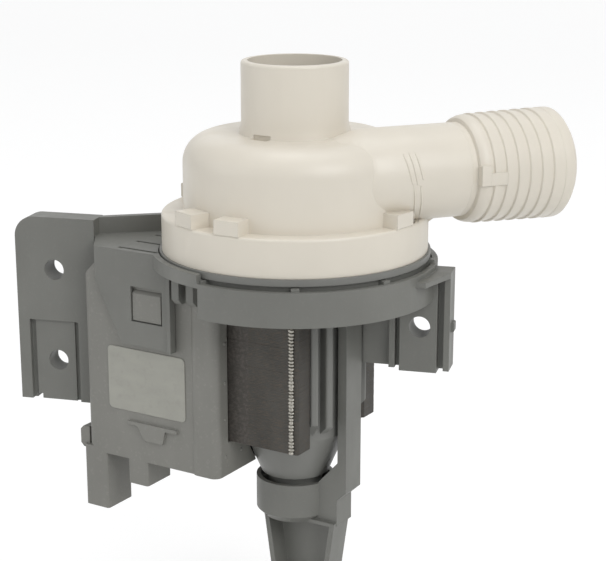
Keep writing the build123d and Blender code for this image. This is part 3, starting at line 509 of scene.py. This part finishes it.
def new_tree(name, inputs):
    """A node tree with one geometry in, one geometry out and named inputs."""
    tree = bpy.data.node_groups.new(name, "GeometryNodeTree")
    tree.interface.new_socket("Geometry", in_out="INPUT", socket_type="NodeSocketGeometry")
    for label, kind, value in inputs:
        socket = tree.interface.new_socket(label, in_out="INPUT", socket_type="NodeSocket" + kind)
        if kind != "Material":
            socket.default_value = value
    tree.interface.new_socket("Geometry", in_out="OUTPUT", socket_type="NodeSocketGeometry")
    return tree, tree.nodes.new("NodeGroupInput"), tree.nodes.new("NodeGroupOutput")


def finish_tree(tree, given, out, spread):
    """The tree, ended in Realize Instances and Set Material."""
    whole = node(tree, "GeometryNodeRealizeInstances")
    finish = node(tree, "GeometryNodeSetMaterial")
    link(tree, (spread, "Instances", whole, "Geometry"), (whole, "Geometry", finish, "Geometry"),
         (given, "Finish", finish, "Material"), (finish, "Geometry", out, "Geometry"))
    return tree


def grown(name, mesh, tree, values):
    """The plain mesh object that a node tree makes from a start mesh."""
    start = linked(name + "_start", mesh)
    modifier = start.modifiers.new("Grow", "NODES")
    modifier.node_group = tree
    sockets = {item.name: item.identifier for item in tree.interface.items_tree
               if item.item_type == "SOCKET" and item.in_out == "INPUT"}
    for label, value in values.items():
        modifier[sockets[label]] = value
    bpy.context.view_layer.update()
    evaluated = start.evaluated_get(bpy.context.evaluated_depsgraph_get())
    plain = bpy.data.meshes.new_from_object(evaluated)
    start.modifiers.remove(modifier)
    bpy.data.objects.remove(start)
    need(len(plain.polygons) > 0, f"{name} came out empty")
    return linked(name, plain)


def stack_tree():
    """Core plates: an outline made into a plate and repeated up the core, each plate a little out of line."""
    tree, given, out = new_tree("Core plate stack", [
        ("Plates", "Int", 80), ("Pitch", "Float", 0.0005), ("Thickness", "Float", 0.00044),
        ("Stagger", "Float", 0.00003), ("Seed", "Int", 7), ("Finish", "Material", None)])
    lift, step, low, high = (node(tree, "ShaderNodeCombineXYZ") for _ in range(4))
    extrude = node(tree, "GeometryNodeExtrudeMesh", {"Individual": False}, mode="FACES")
    flip = node(tree, "GeometryNodeFlipFaces")
    join = node(tree, "GeometryNodeJoinGeometry")
    weld = node(tree, "GeometryNodeMergeByDistance", {"Distance": 0.000002})
    line = node(tree, "GeometryNodeMeshLine")
    minus = node(tree, "ShaderNodeMath", {1: -1}, operation="MULTIPLY")
    shift = node(tree, "FunctionNodeRandomValue", data_type="FLOAT_VECTOR")
    place = node(tree, "GeometryNodeSetPosition")
    spread = node(tree, "GeometryNodeInstanceOnPoints")
    link(tree,
         (given, "Thickness", lift, "Z"), (given, "Geometry", extrude, "Mesh"),
         (lift, "Vector", extrude, "Offset"), (given, "Geometry", flip, "Mesh"),
         (extrude, "Mesh", join, "Geometry"), (flip, "Mesh", join, "Geometry"),
         (join, "Geometry", weld, "Geometry"), (given, "Pitch", step, "Z"),
         (given, "Plates", line, "Count"), (step, "Vector", line, "Offset"), (given, "Stagger", minus, 0),
         (low, "Vector", shift, "Min"), (high, "Vector", shift, "Max"), (given, "Seed", shift, "Seed"),
         (line, "Mesh", place, "Geometry"), (shift, "Value", place, "Offset"),
         (place, "Geometry", spread, "Points"), (weld, "Geometry", spread, "Instance"))
    for axis in "XY":
        link(tree, (minus, "Value", low, axis), (given, "Stagger", high, axis))
    return finish_tree(tree, given, out, spread)


def ripple_tree():
    """Weld bead: overlapping flattened drops down a seam, each a little different in size."""
    tree, given, out = new_tree("Weld ripples", [
        ("Ripples", "Int", 48), ("Pitch", "Float", 0.00085), ("Width", "Float", 0.002),
        ("Depth", "Float", 0.0009), ("Turn", "Float", 0.0), ("Top", "Vector", (0, 0, 0)),
        ("Seed", "Int", 7), ("Finish", "Material", None)])
    step, size, face = (node(tree, "ShaderNodeCombineXYZ") for _ in range(3))
    fall = node(tree, "ShaderNodeMath", {1: -1}, operation="MULTIPLY")
    tall = node(tree, "ShaderNodeMath", {1: RIPPLE_HEIGHT}, operation="MULTIPLY")
    line = node(tree, "GeometryNodeMeshLine")
    drop = node(tree, "GeometryNodeMeshIcoSphere", {"Radius": 0.5, "Subdivisions": 3})
    vary = node(tree, "FunctionNodeRandomValue", data_type="FLOAT_VECTOR",
                values={"Min": (0.7, 0.75, 0.75), "Max": (1.0, 1.0, 1.05)})
    times = node(tree, "ShaderNodeVectorMath", operation="MULTIPLY")
    spread = node(tree, "GeometryNodeInstanceOnPoints")
    link(tree,
         (given, "Pitch", fall, 0), (fall, "Value", step, "Z"), (given, "Ripples", line, "Count"),
         (given, "Top", line, "Start Location"), (step, "Vector", line, "Offset"),
         (given, "Pitch", tall, 0), (given, "Width", size, "X"), (given, "Depth", size, "Y"),
         (tall, "Value", size, "Z"), (given, "Seed", vary, "Seed"), (size, "Vector", times, 0),
         (vary, "Value", times, 1), (given, "Turn", face, "Z"), (line, "Mesh", spread, "Points"),
         (drop, "Mesh", spread, "Instance"), (times, "Vector", spread, "Scale"),
         (face, "Vector", spread, "Rotation"))
    return finish_tree(tree, given, out, spread)


def turns_tree():
    """Winding: one turn of wire, drawn round the start outline, repeated along the bobbin."""
    tree, given, out = new_tree("Winding turns", [
        ("Turns", "Int", 50), ("Step", "Vector", (0, 0, 0.0008)), ("Wire radius", "Float", 0.0004),
        ("Finish", "Material", None)])
    path = node(tree, "GeometryNodeMeshToCurve")
    section = node(tree, "GeometryNodeCurvePrimitiveCircle", {"Resolution": 6})
    sweep = node(tree, "GeometryNodeCurveToMesh")
    line = node(tree, "GeometryNodeMeshLine")
    smooth = node(tree, "GeometryNodeSetShadeSmooth")
    spread = node(tree, "GeometryNodeInstanceOnPoints")
    link(tree,
         (given, "Geometry", path, "Mesh"), (given, "Wire radius", section, "Radius"),
         (path, "Curve", sweep, "Curve"), (section, "Curve", sweep, "Profile Curve"),
         (sweep, "Mesh", smooth, "Geometry"), (given, "Turns", line, "Count"),
         (given, "Step", line, "Offset"), (line, "Mesh", spread, "Points"),
         (smooth, "Geometry", spread, "Instance"))
    return finish_tree(tree, given, out, spread)


def dome_tree():
    """Small moulded pips: a low dome on every face of the start mesh, turned to its normal."""
    tree, given, out = new_tree("Moulded pips", [
        ("Radius", "Float", 0.0006), ("Rise", "Float", 0.5), ("Finish", "Material", None)])
    dome = node(tree, "GeometryNodeMeshUVSphere", {"Segments": 16, "Rings": 10, "Radius": 1.0})
    smooth = node(tree, "GeometryNodeSetShadeSmooth")
    size = node(tree, "ShaderNodeCombineXYZ")
    lower = node(tree, "ShaderNodeMath", operation="MULTIPLY")
    facing = node(tree, "GeometryNodeInputNormal")
    keep = node(tree, "GeometryNodeCaptureAttribute", domain="FACE")
    keep.capture_items.new("VECTOR", "Facing")
    points = node(tree, "GeometryNodeMeshToPoints", mode="FACES")
    turn = node(tree, "FunctionNodeAlignRotationToVector", axis="Z")
    spread = node(tree, "GeometryNodeInstanceOnPoints")
    link(tree,
         (given, "Geometry", keep, "Geometry"), (facing, "Normal", keep, "Facing"),
         (keep, "Geometry", points, "Mesh"), (keep, "Facing", turn, "Vector"),
         (given, "Radius", size, "X"), (given, "Radius", size, "Y"), (given, "Radius", lower, 0),
         (given, "Rise", lower, 1), (lower, "Value", size, "Z"), (dome, "Mesh", smooth, "Geometry"),
         (points, "Points", spread, "Points"), (smooth, "Geometry", spread, "Instance"),
         (turn, "Rotation", spread, "Rotation"), (size, "Vector", spread, "Scale"))
    return finish_tree(tree, given, out, spread)


# Operators

class PUMP_OT_finish_plastics(bpy.types.Operator):
    """Gives the moulded nodes their cloudy, grained plastics"""
    bl_idname = "pump.finish_plastics"
    bl_label = "Finish plastics"

    def execute(self, context):
        tones = context.scene.pump_finishes
        grain, edge = tones.mould_grain, tones.edge_softness
        for names, title, tint, roughness, looks in (
                # The volute's painted edge highlight is set weaker than on the other mouldings.
                (("volute_housing",), "Cream moulding", tones.volute_cream, 0.36,
                 {"grain": grain * 1.6, "cloud": 0.035, "grain_depth": 0.000012, "edge_highlight": 0.06}),
                (("mounting_bracket",), "Bracket moulding", tones.bracket_grey, 0.46, {"speck": 0.05}),
                (("rotor_can", "front_bearing_cap"), "Can moulding", tones.can_grey, 0.42, {"cloud": 0.08}),
                (("coil_cover",), "Cover moulding", tones.cover_grey, 0.48, {"cloud": 0.07, "speck": 0.12}),
                (("front_bobbin", "rear_bobbin"), "Bobbin moulding", (0.09, 0.09, 0.085), 0.5, {}),
                (("impeller", "impeller_hub_cap", "drive_dog", "magnet_carrier"), "Impeller moulding",
                 (0.1, 0.1, 0.098), 0.4, {"cloud": 0.12}),
                (("thermal_cutout",), "Cutout moulding", (0.62, 0.6, 0.52), 0.45, {})):
            finish = {"grain": grain, "edge": edge, **looks}
            paint_nodes(names, moulded_plastic(title, tint, roughness, **finish))
        paint_nodes(("rating_label",), label_film("Bare label film", tones.label_grey, edge))
        return {"FINISHED"}


class PUMP_OT_finish_inner(bpy.types.Operator):
    """Gives the rubber, ceramic and bare metal nodes their finishes"""
    bl_idname = "pump.finish_inner"
    bl_label = "Finish seals, bearings and metals"

    def execute(self, context):
        black = rubber("Seal rubber", (0.018, 0.018, 0.019))
        paint_nodes(("volute_gasket", "shaft_seal", "front_bearing_holder", "rear_bearing_holder"), black)
        ground = fired_ceramic("Bearing ceramic", (0.72, 0.7, 0.66), 0.3)
        paint_nodes(("front_bearing", "rear_bearing"), ground)
        paint_nodes(("rotor_magnet",), fired_ceramic("Magnet ferrite", (0.05, 0.05, 0.054), 0.4))
        steel = bare_metal("Ground steel", (0.62, 0.62, 0.63), 0.22, 0.0006, (1, 1, 6))
        paint_nodes(("rotor_shaft", "front_thrust_washer", "rear_thrust_washer"), steel)
        blade = bare_metal("Tinned brass", (0.72, 0.64, 0.44), 0.3, 0.0005, (1, 1, 0.2))
        paint_nodes(("plug_terminal", "socket_terminal"), blade)
        return {"FINISHED"}


class PUMP_OT_core_plates(bpy.types.Operator):
    """Builds the magnet core from its stack of plates"""
    bl_idname = "pump.core_plates"
    bl_label = "Core plates"

    def execute(self, context):
        tones, sizes = context.scene.pump_finishes, context.scene.pump_details
        steel = plate_steel("Varnished core steel", tones.core_steel, sizes.plate_pitch, tones.edge_softness)
        tree = stack_tree()
        for name in ("front_core_leg", "rear_core_leg", "core_yoke"):
            low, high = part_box(name)
            count = round((high.z - low.z) / sizes.plate_pitch)
            pitch = (high.z - low.z) / count
            stack = grown(name + "_plates", bottom_face(name), tree, {
                "Plates": count, "Pitch": pitch, "Thickness": pitch * 0.9,
                "Stagger": sizes.plate_stagger, "Seed": sizes.seed, "Finish": steel})
            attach(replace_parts(stack, name), "pump")
        return {"FINISHED"}


class PUMP_OT_weld_bead(bpy.types.Operator):
    """Runs the rippled weld bead down the seam of the core"""
    bl_idname = "pump.weld_bead"
    bl_label = "Weld bead"

    def execute(self, context):
        tones, sizes = context.scene.pump_finishes, context.scene.pump_details
        low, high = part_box("core_weld")
        middle = (low + high) / 2
        weld = bare_metal("Weld steel", tones.weld_steel, 0.4, 0.0005, (1, 1, 1), 0.35)
        count = int((high.z - low.z - sizes.bead_pitch * RIPPLE_HEIGHT) / sizes.bead_pitch) + 1
        bead = grown("core_weld_bead", bpy.data.meshes.new("weld_start"), ripple_tree(), {
            "Ripples": count, "Pitch": sizes.bead_pitch, "Width": BEAD_WIDTH, "Depth": BEAD_DEPTH,
            "Turn": STATOR_TURN, "Top": (middle.x, middle.y, high.z - sizes.bead_pitch),
            "Seed": sizes.seed, "Finish": weld})
        shade_smooth(bead.data)
        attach(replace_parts(bead, "core_weld"), "pump")
        return {"FINISHED"}


class PUMP_OT_windings(bpy.types.Operator):
    """Winds the two coils turn by turn over their bobbins"""
    bl_idname = "pump.windings"
    bl_label = "Windings"

    def execute(self, context):
        tones, sizes = context.scene.pump_finishes, context.scene.pump_details
        copper = enamelled_copper("Enamelled copper", tones.copper, sizes.wire_width)
        tree = turns_tree()
        wire = sizes.wire_width / 2
        for name in ("front_winding", "rear_winding"):
            low, high = stator_box(name)
            count = int((high.x - low.x) / sizes.wire_width)
            step = STATOR @ Vector(((high.x - low.x - wire * 2) / (count - 1), 0, 0))
            coil = grown(name + "_turns", self.turn_path(low, high, wire), tree, {
                "Turns": count, "Step": tuple(step), "Wire radius": wire, "Finish": copper})
            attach(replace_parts(coil, name), "pump")
        return {"FINISHED"}

    def turn_path(self, low, high, wire):
        """The outline of the first turn: a rectangle with round corners, as a closed loop of edges."""
        bend = wire * 5
        corner_steps = 5
        out = bmesh.new()
        loop = []
        corners = ((high.y, high.z), (low.y, high.z), (low.y, low.z), (high.y, low.z))
        for quarter, (y, z) in enumerate(corners):
            centre_y = y + (wire + bend) * (-1 if y == high.y else 1)
            centre_z = z + (wire + bend) * (-1 if z == high.z else 1)
            for share in range(corner_steps + 1):
                angle = math.radians(90 * quarter + 90 / corner_steps * share)
                spot = (low.x + wire, centre_y + bend * math.cos(angle), centre_z + bend * math.sin(angle))
                loop.append(out.verts.new(STATOR @ Vector(spot)))
        for first, second in zip(loop, loop[1:] + loop[:1]):
            out.edges.new((first, second))
        return made_mesh("turn_path", out)


class PUMP_OT_volute_shell(bpy.types.Operator):
    """Builds the volute with the saw-tooth rings, the stepped key and the whole nose of its outlet"""
    bl_idname = "pump.volute_shell"
    bl_label = "Volute shell"

    def execute(self, context):
        work = bmesh.new()
        work.from_mesh(cad_nodes["volute_housing"].data)
        bmesh.ops.remove_doubles(work, verts=work.verts, dist=MERGE_GAP)
        self.cut_barrel(work)
        self.narrow_stub(work)
        added = bmesh.new()
        self.turn_barrel(added)
        for low, high, start, end in KEY_STEPS:
            self.add_key_step(added, low, high, start, end)
        self.close_nose(added)
        bmesh.ops.recalc_face_normals(added, faces=added.faces)
        extra = made_mesh("outlet_barrel", added)
        work.from_mesh(extra)
        bpy.data.meshes.remove(extra)
        mesh = made_mesh("volute_shell", work)
        for name in ("custom_normal", "sharp_face", "sharp_edge"):
            if name in mesh.attributes:
                mesh.attributes.remove(mesh.attributes[name])
        shade_smooth(mesh)
        mesh.set_sharp_from_angle(angle=math.radians(30))
        shell = linked("volute_shell", mesh)
        paint(shell, bpy.data.materials["Cream moulding"])
        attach(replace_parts(shell, "volute_housing"), "pump")
        return {"FINISHED"}

    def along(self, line, distance):
        """The radius that a broken line of (distance, radius) points has at a distance."""
        for (near, first), (far, second) in zip(line, line[1:]):
            if distance <= far:
                return first + (second - first) * (distance - near) / (far - near)
        return line[-1][1]

    def spot(self, distance, across, height):
        """Where a point lies that is given in millimetres along, across and above the outlet's axis."""
        return OUTLET @ (Vector((distance, across, height)) * MILLIMETRE)

    def ring(self, out, distance, radius, turns):
        """Points round the outlet's axis, one at each angle."""
        return [out.verts.new(self.spot(distance, radius * math.cos(turn), radius * math.sin(turn)))
                for turn in turns]

    def cut_barrel(self, work):
        """Cuts the solid's barrel off square to the outlet and closes the cut as a ring."""
        facing = OUTLET.to_3x3() @ Vector((1, 0, 0))
        cut = bmesh.ops.bisect_plane(
            work, geom=work.verts[:] + work.edges[:] + work.faces[:], dist=0.000001,
            plane_co=OUTLET @ Vector((SHELL_CUT * MILLIMETRE, 0, 0)), plane_no=facing, clear_outer=True)
        rims = [item for item in cut["geom_cut"] if isinstance(item, bmesh.types.BMEdge)]
        need(rims, "the outlet wasn't found at its cut")
        bmesh.ops.triangle_fill(work, edges=rims, use_beauty=True, normal=facing)

    def narrow_stub(self, work):
        """Brings what the cut left of the solid's wide barrel and key down to the tube's radius."""
        back = OUTLET.inverted()
        slack = 0.06
        wide = {}
        for vert in work.verts:
            place = back @ vert.co * 1000
            radius = math.hypot(place.y, place.z)
            if place.x < SOLID_BARREL[0][0] + slack or radius < TUBE_RADIUS + slack:
                continue
            on_barrel = abs(radius - self.along(SOLID_BARREL, place.x)) < slack
            on_key = place.y < -TUBE_RADIUS and radius < SOLID_KEY_RADIUS + slack
            if on_barrel or on_key:
                wide[vert] = (place, TUBE_RADIUS / radius)
        for vert, (place, share) in wide.items():
            around = {other for face in vert.link_faces for other in face.verts}
            if all(other in wide or (back @ other.co).yz.length * 1000 < TUBE_RADIUS + slack
                   for other in around):
                vert.co = self.spot(place.x, place.y * share, place.z * share)
        bmesh.ops.remove_doubles(work, verts=work.verts, dist=MERGE_GAP)
        bmesh.ops.dissolve_degenerate(work, edges=work.edges, dist=0.000002)

    def turn_barrel(self, out):
        """The barrel: an outline of shoulder, saw-tooth rings, mouth and bore, turned about the outlet."""
        outline = list(BARREL_SHOULDER)
        for index in range(RING_COUNT):
            start = RING_START + RING_PITCH * index
            crest = RING_CREST + RING_GROWTH * index
            outline += [(start + RING_RISE, crest), (start + RING_LAND, crest + RING_SLOPE)]
            if index < RING_COUNT - 1:
                outline.append((start + RING_PITCH, crest - RING_FALL))
        outline += BARREL_MOUTH
        turns = [math.tau * step / BARREL_SIDES for step in range(BARREL_SIDES)]
        rings = [self.ring(out, distance, radius, turns) for distance, radius in outline]
        skin(out, rings, around=True, back_to_first=True)

    def add_key_step(self, out, low, high, start, end):
        """One step of the key: a slab about the outlet's axis between two distances and two angles."""
        steps = 8
        turns = [math.radians(start + (end - start) * step / steps) for step in range(steps + 1)]
        rows = [self.ring(out, distance, radius, turns) for distance, radius in (
            (low, KEY_RADIUS), (high, KEY_RADIUS),
            (high, KEY_RADIUS - KEY_DEPTH), (low, KEY_RADIUS - KEY_DEPTH))]
        skin(out, rows, back_to_first=True)
        out.faces.new([row[0] for row in rows])
        out.faces.new([row[-1] for row in reversed(rows)])

    def close_nose(self, out):
        """A patch beside the inlet, where the solid's bore comes up through the volute's top."""
        (low, high), (left, right) = NOSE_PATCH
        rows = []
        for step in range(NOSE_STEPS + 1):
            distance = low + (high - low) * step / NOSE_STEPS
            radius = self.along(NOSE_CONE, distance)
            top, under = [], []
            for index in range(NOSE_STEPS + 1):
                across = left + (right - left) * index / NOSE_STEPS
                foot = max(0.0, across - INLET_FOOT) * FOOT_SLOPE
                level = max(math.sqrt(radius ** 2 - across ** 2), VOLUTE_TOP + foot) - NOSE_INSET
                top.append(out.verts.new(self.spot(distance, across, level)))
                under.append(out.verts.new(self.spot(distance, across, level - NOSE_DEPTH)))
            rows.append(top + under[::-1])
        skin(out, rows, around=True)
        for row in (rows[0], rows[-1]):
            for index in range(NOSE_STEPS):
                out.faces.new((row[index], row[index + 1], row[-2 - index], row[-1 - index]))


class PUMP_OT_mould_marks(bpy.types.Operator):
    """Raises the thin mould marks where the outlet leaves the volute"""
    bl_idname = "pump.mould_marks"
    bl_label = "Volute mould marks"

    def execute(self, context):
        sizes = context.scene.pump_details
        work = merged_copy("volute_housing")
        wall = BVHTree.FromBMesh(work)
        work.free()
        out = bmesh.new()
        for start, end in CHEVRON_MARKS + POST_MARKS:
            self.raise_mark(out, wall, Vector(start) * MILLIMETRE, Vector(end) * MILLIMETRE,
                            sizes.mark_width, sizes.mark_height)
        bmesh.ops.recalc_face_normals(out, faces=out.faces)
        marks = linked("volute_mould_marks", made_mesh("volute_mould_marks", out))
        paint(marks, bpy.data.materials["Cream moulding"])
        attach(marks, "pump")
        return {"FINISHED"}

    def raise_mark(self, out, wall, start, end, width, height):
        """One low ridge laid on the wall from start to end, thinning to nothing at both ends."""
        steps = 14
        rings = []
        for index in range(steps + 1):
            share = index / steps
            point, normal, _, _ = wall.find_nearest(start.lerp(end, share))
            need(point is not None, "the volute's wall wasn't found under a mould mark")
            along = (end - start).normalized()
            side = normal.cross(along).normalized()
            taper = min(1.0, 4 * share, 4 * (1 - share)) ** 0.5 if 0 < share < 1 else 0.05
            rise = height * taper
            half = width / 2 * (0.4 + 0.6 * taper)
            rings.append([out.verts.new(point + side * half * across + normal * rise * up)
                          for across, up in MARK_SECTION])
        skin(out, rings, around=True)
        out.faces.new(rings[0])
        out.faces.new(list(reversed(rings[-1])))


class PUMP_OT_cover_pips(bpy.types.Operator):
    """Sets the row of moulded pips down the coil cover's flange"""
    bl_idname = "pump.cover_pips"
    bl_label = "Cover pips"

    def execute(self, context):
        sizes = context.scene.pump_details
        out = bmesh.new()
        facing = STATOR.to_3x3() @ Vector((1, 0, 0))
        small = 0.0001
        side = STATOR.to_3x3() @ Vector((0, 1, 0)) * small
        up = Vector((0, 0, small))
        for place in PIP_PLACES:
            spot = Vector(place)
            face = out.faces.new([out.verts.new(corner) for corner in (
                spot - side, spot + side, spot + side + up, spot - side + up)])
            face.normal_update()
            if face.normal.dot(facing) < 0:
                face.normal_flip()
        pips = grown("coil_cover_pips", made_mesh("pip_places", out), dome_tree(), {
            "Radius": sizes.pip_radius, "Rise": 0.6, "Finish": bpy.data.materials["Cover moulding"]})
        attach(pips, "pump")
        return {"FINISHED"}


class PUMP_OT_studio(bpy.types.Operator):
    """Sets up the floor, the lamps and the camera"""
    bl_idname = "pump.studio"
    bl_label = "Studio"

    def execute(self, context):
        scene, studio = context.scene, context.scene.pump_studio
        scene.view_settings.view_transform = "Standard"
        self.lay_floor(studio)
        self.light_world(scene, studio)
        self.hang_lamp("Key lamp", (0.79, -0.7, 0.65), size=0.7, watts=studio.key_power)
        self.hang_lamp("Fill lamp", (-0.95, -0.55, 0.2), size=0.8, watts=studio.fill_power)
        self.hang_lamp("Top lamp", (0.0, 0.05, 0.95), size=0.7, watts=studio.top_power)
        camera = linked("Camera", bpy.data.cameras.new("Camera"))
        camera.data.lens = studio.lens
        camera.data.sensor_width = 36
        camera.data.sensor_fit = "HORIZONTAL"
        camera.data.shift_y = studio.shift
        camera.data.clip_start = 0.01
        camera.location = studio.camera_place
        camera.rotation_mode = "QUATERNION"
        camera.rotation_quaternion = Vector(studio.camera_aim).to_track_quat("-Z", "Y")
        scene.camera = camera
        return {"FINISHED"}

    def lay_floor(self, studio):
        """A pale floor that curves up behind the pump and keeps its shadow."""
        half = studio.floor_size / 2
        base = cad_low.z - FLOOR_GAP
        rows = [(-half, 0.0), (half * 0.5, 0.0)]
        rows += [(half * 0.5 + half * 0.4 * math.sin(a), half * 0.4 * (1 - math.cos(a)))
                 for a in (math.radians(15 * step) for step in range(1, 7))]
        rows.append((half * 0.9, half * 1.4))
        out = bmesh.new()
        skin(out, [[out.verts.new((x, y, base + z)) for x in (-half, half)] for y, z in rows])
        floor = linked("studio_floor", made_mesh("studio_floor", out))
        shade_smooth(floor.data)
        paint(floor, self.floor_finish())

    def floor_finish(self):
        """Near white to the camera, with the pump's own soft shadow kept."""
        made, tree = new_material("Pale floor")
        output = node(tree, "ShaderNodeOutputMaterial")
        matte = node(tree, "ShaderNodeBsdfDiffuse", {"Color": (0.82, 0.82, 0.81, 1)})
        glow = node(tree, "ShaderNodeEmission", {"Strength": 0.82})
        dim = node(tree, "ShaderNodeBsdfDiffuse", {"Color": (0.25, 0.25, 0.25, 1)})
        both = node(tree, "ShaderNodeAddShader")
        seen = node(tree, "ShaderNodeLightPath")
        most = node(tree, "ShaderNodeMath", operation="MAXIMUM")
        mix = node(tree, "ShaderNodeMixShader")
        link(tree,
             (glow, "Emission", both, 0), (dim, "BSDF", both, 1), (seen, "Is Camera Ray", most, 0),
             (seen, "Is Glossy Ray", most, 1), (most, "Value", mix, "Fac"), (matte, "BSDF", mix, 1),
             (both, "Shader", mix, 2), (mix, "Shader", output, "Surface"))
        return made

    def light_world(self, scene, studio):
        """Even light from all round, white where the camera sees it."""
        world = bpy.data.worlds.new("Studio")
        scene.world = world
        world.use_nodes = True
        tree = world.node_tree
        tree.nodes.clear()
        output = node(tree, "ShaderNodeOutputWorld")
        around = node(tree, "ShaderNodeBackground", {
            "Color": (0.97, 0.985, 1.0, 1), "Strength": studio.ambient})
        white = node(tree, "ShaderNodeBackground", {"Color": (1, 1, 1, 1), "Strength": 1.0})
        seen = node(tree, "ShaderNodeLightPath")
        mix = node(tree, "ShaderNodeMixShader")
        link(tree, (seen, "Is Camera Ray", mix, "Fac"), (around, "Background", mix, 1),
             (white, "Background", mix, 2), (mix, "Shader", output, "Surface"))

    def hang_lamp(self, name, place, size, watts):
        """A square soft lamp that looks at the middle of the pump."""
        lamp = bpy.data.lights.new(name, "AREA")
        lamp.size = size
        lamp.energy = watts
        hung = linked(name, lamp)
        hung.location = place
        hung.rotation_mode = "QUATERNION"
        hung.rotation_quaternion = (Vector(LAMP_AIM) - Vector(place)).to_track_quat("-Z", "Y")


class PUMP_PT_sidebar(bpy.types.Panel):
    """Lists the pump's pieces and settings"""
    bl_label = "Drain Pump"
    bl_idname = "PUMP_PT_sidebar"
    bl_space_type = "VIEW_3D"
    bl_region_type = "UI"
    bl_category = "Drain Pump"

    def draw(self, context):
        column = self.layout.column()
        for group in GROUPS:
            settings = getattr(context.scene, group)
            for name in settings.__annotations__:
                column.prop(settings, name)
        for operator in OPERATORS:
            column.operator(operator.bl_idname)


# The operators in the order in which they run.
OPERATORS = (
    PUMP_OT_finish_plastics,
    PUMP_OT_finish_inner,
    PUMP_OT_core_plates,
    PUMP_OT_weld_bead,
    PUMP_OT_windings,
    PUMP_OT_volute_shell,
    PUMP_OT_mould_marks,
    PUMP_OT_cover_pips,
    PUMP_OT_studio,
)
GROUPS = {"pump_finishes": PumpFinishes, "pump_details": PumpDetails, "pump_studio": PumpStudio}
CLASSES = (*GROUPS.values(), *OPERATORS, PUMP_PT_sidebar)


def register():
    for item in CLASSES:
        bpy.utils.register_class(item)
    for name, group in GROUPS.items():
        setattr(bpy.types.Scene, name, PointerProperty(type=group))


def unregister():
    for name in GROUPS:
        delattr(bpy.types.Scene, name)
    for item in reversed(CLASSES):
        bpy.utils.unregister_class(item)


def main():
    register()
    for operator in OPERATORS:
        getattr(bpy.ops.pump, operator.bl_idname.removeprefix("pump."))()


if __name__ == "__main__":
    main()
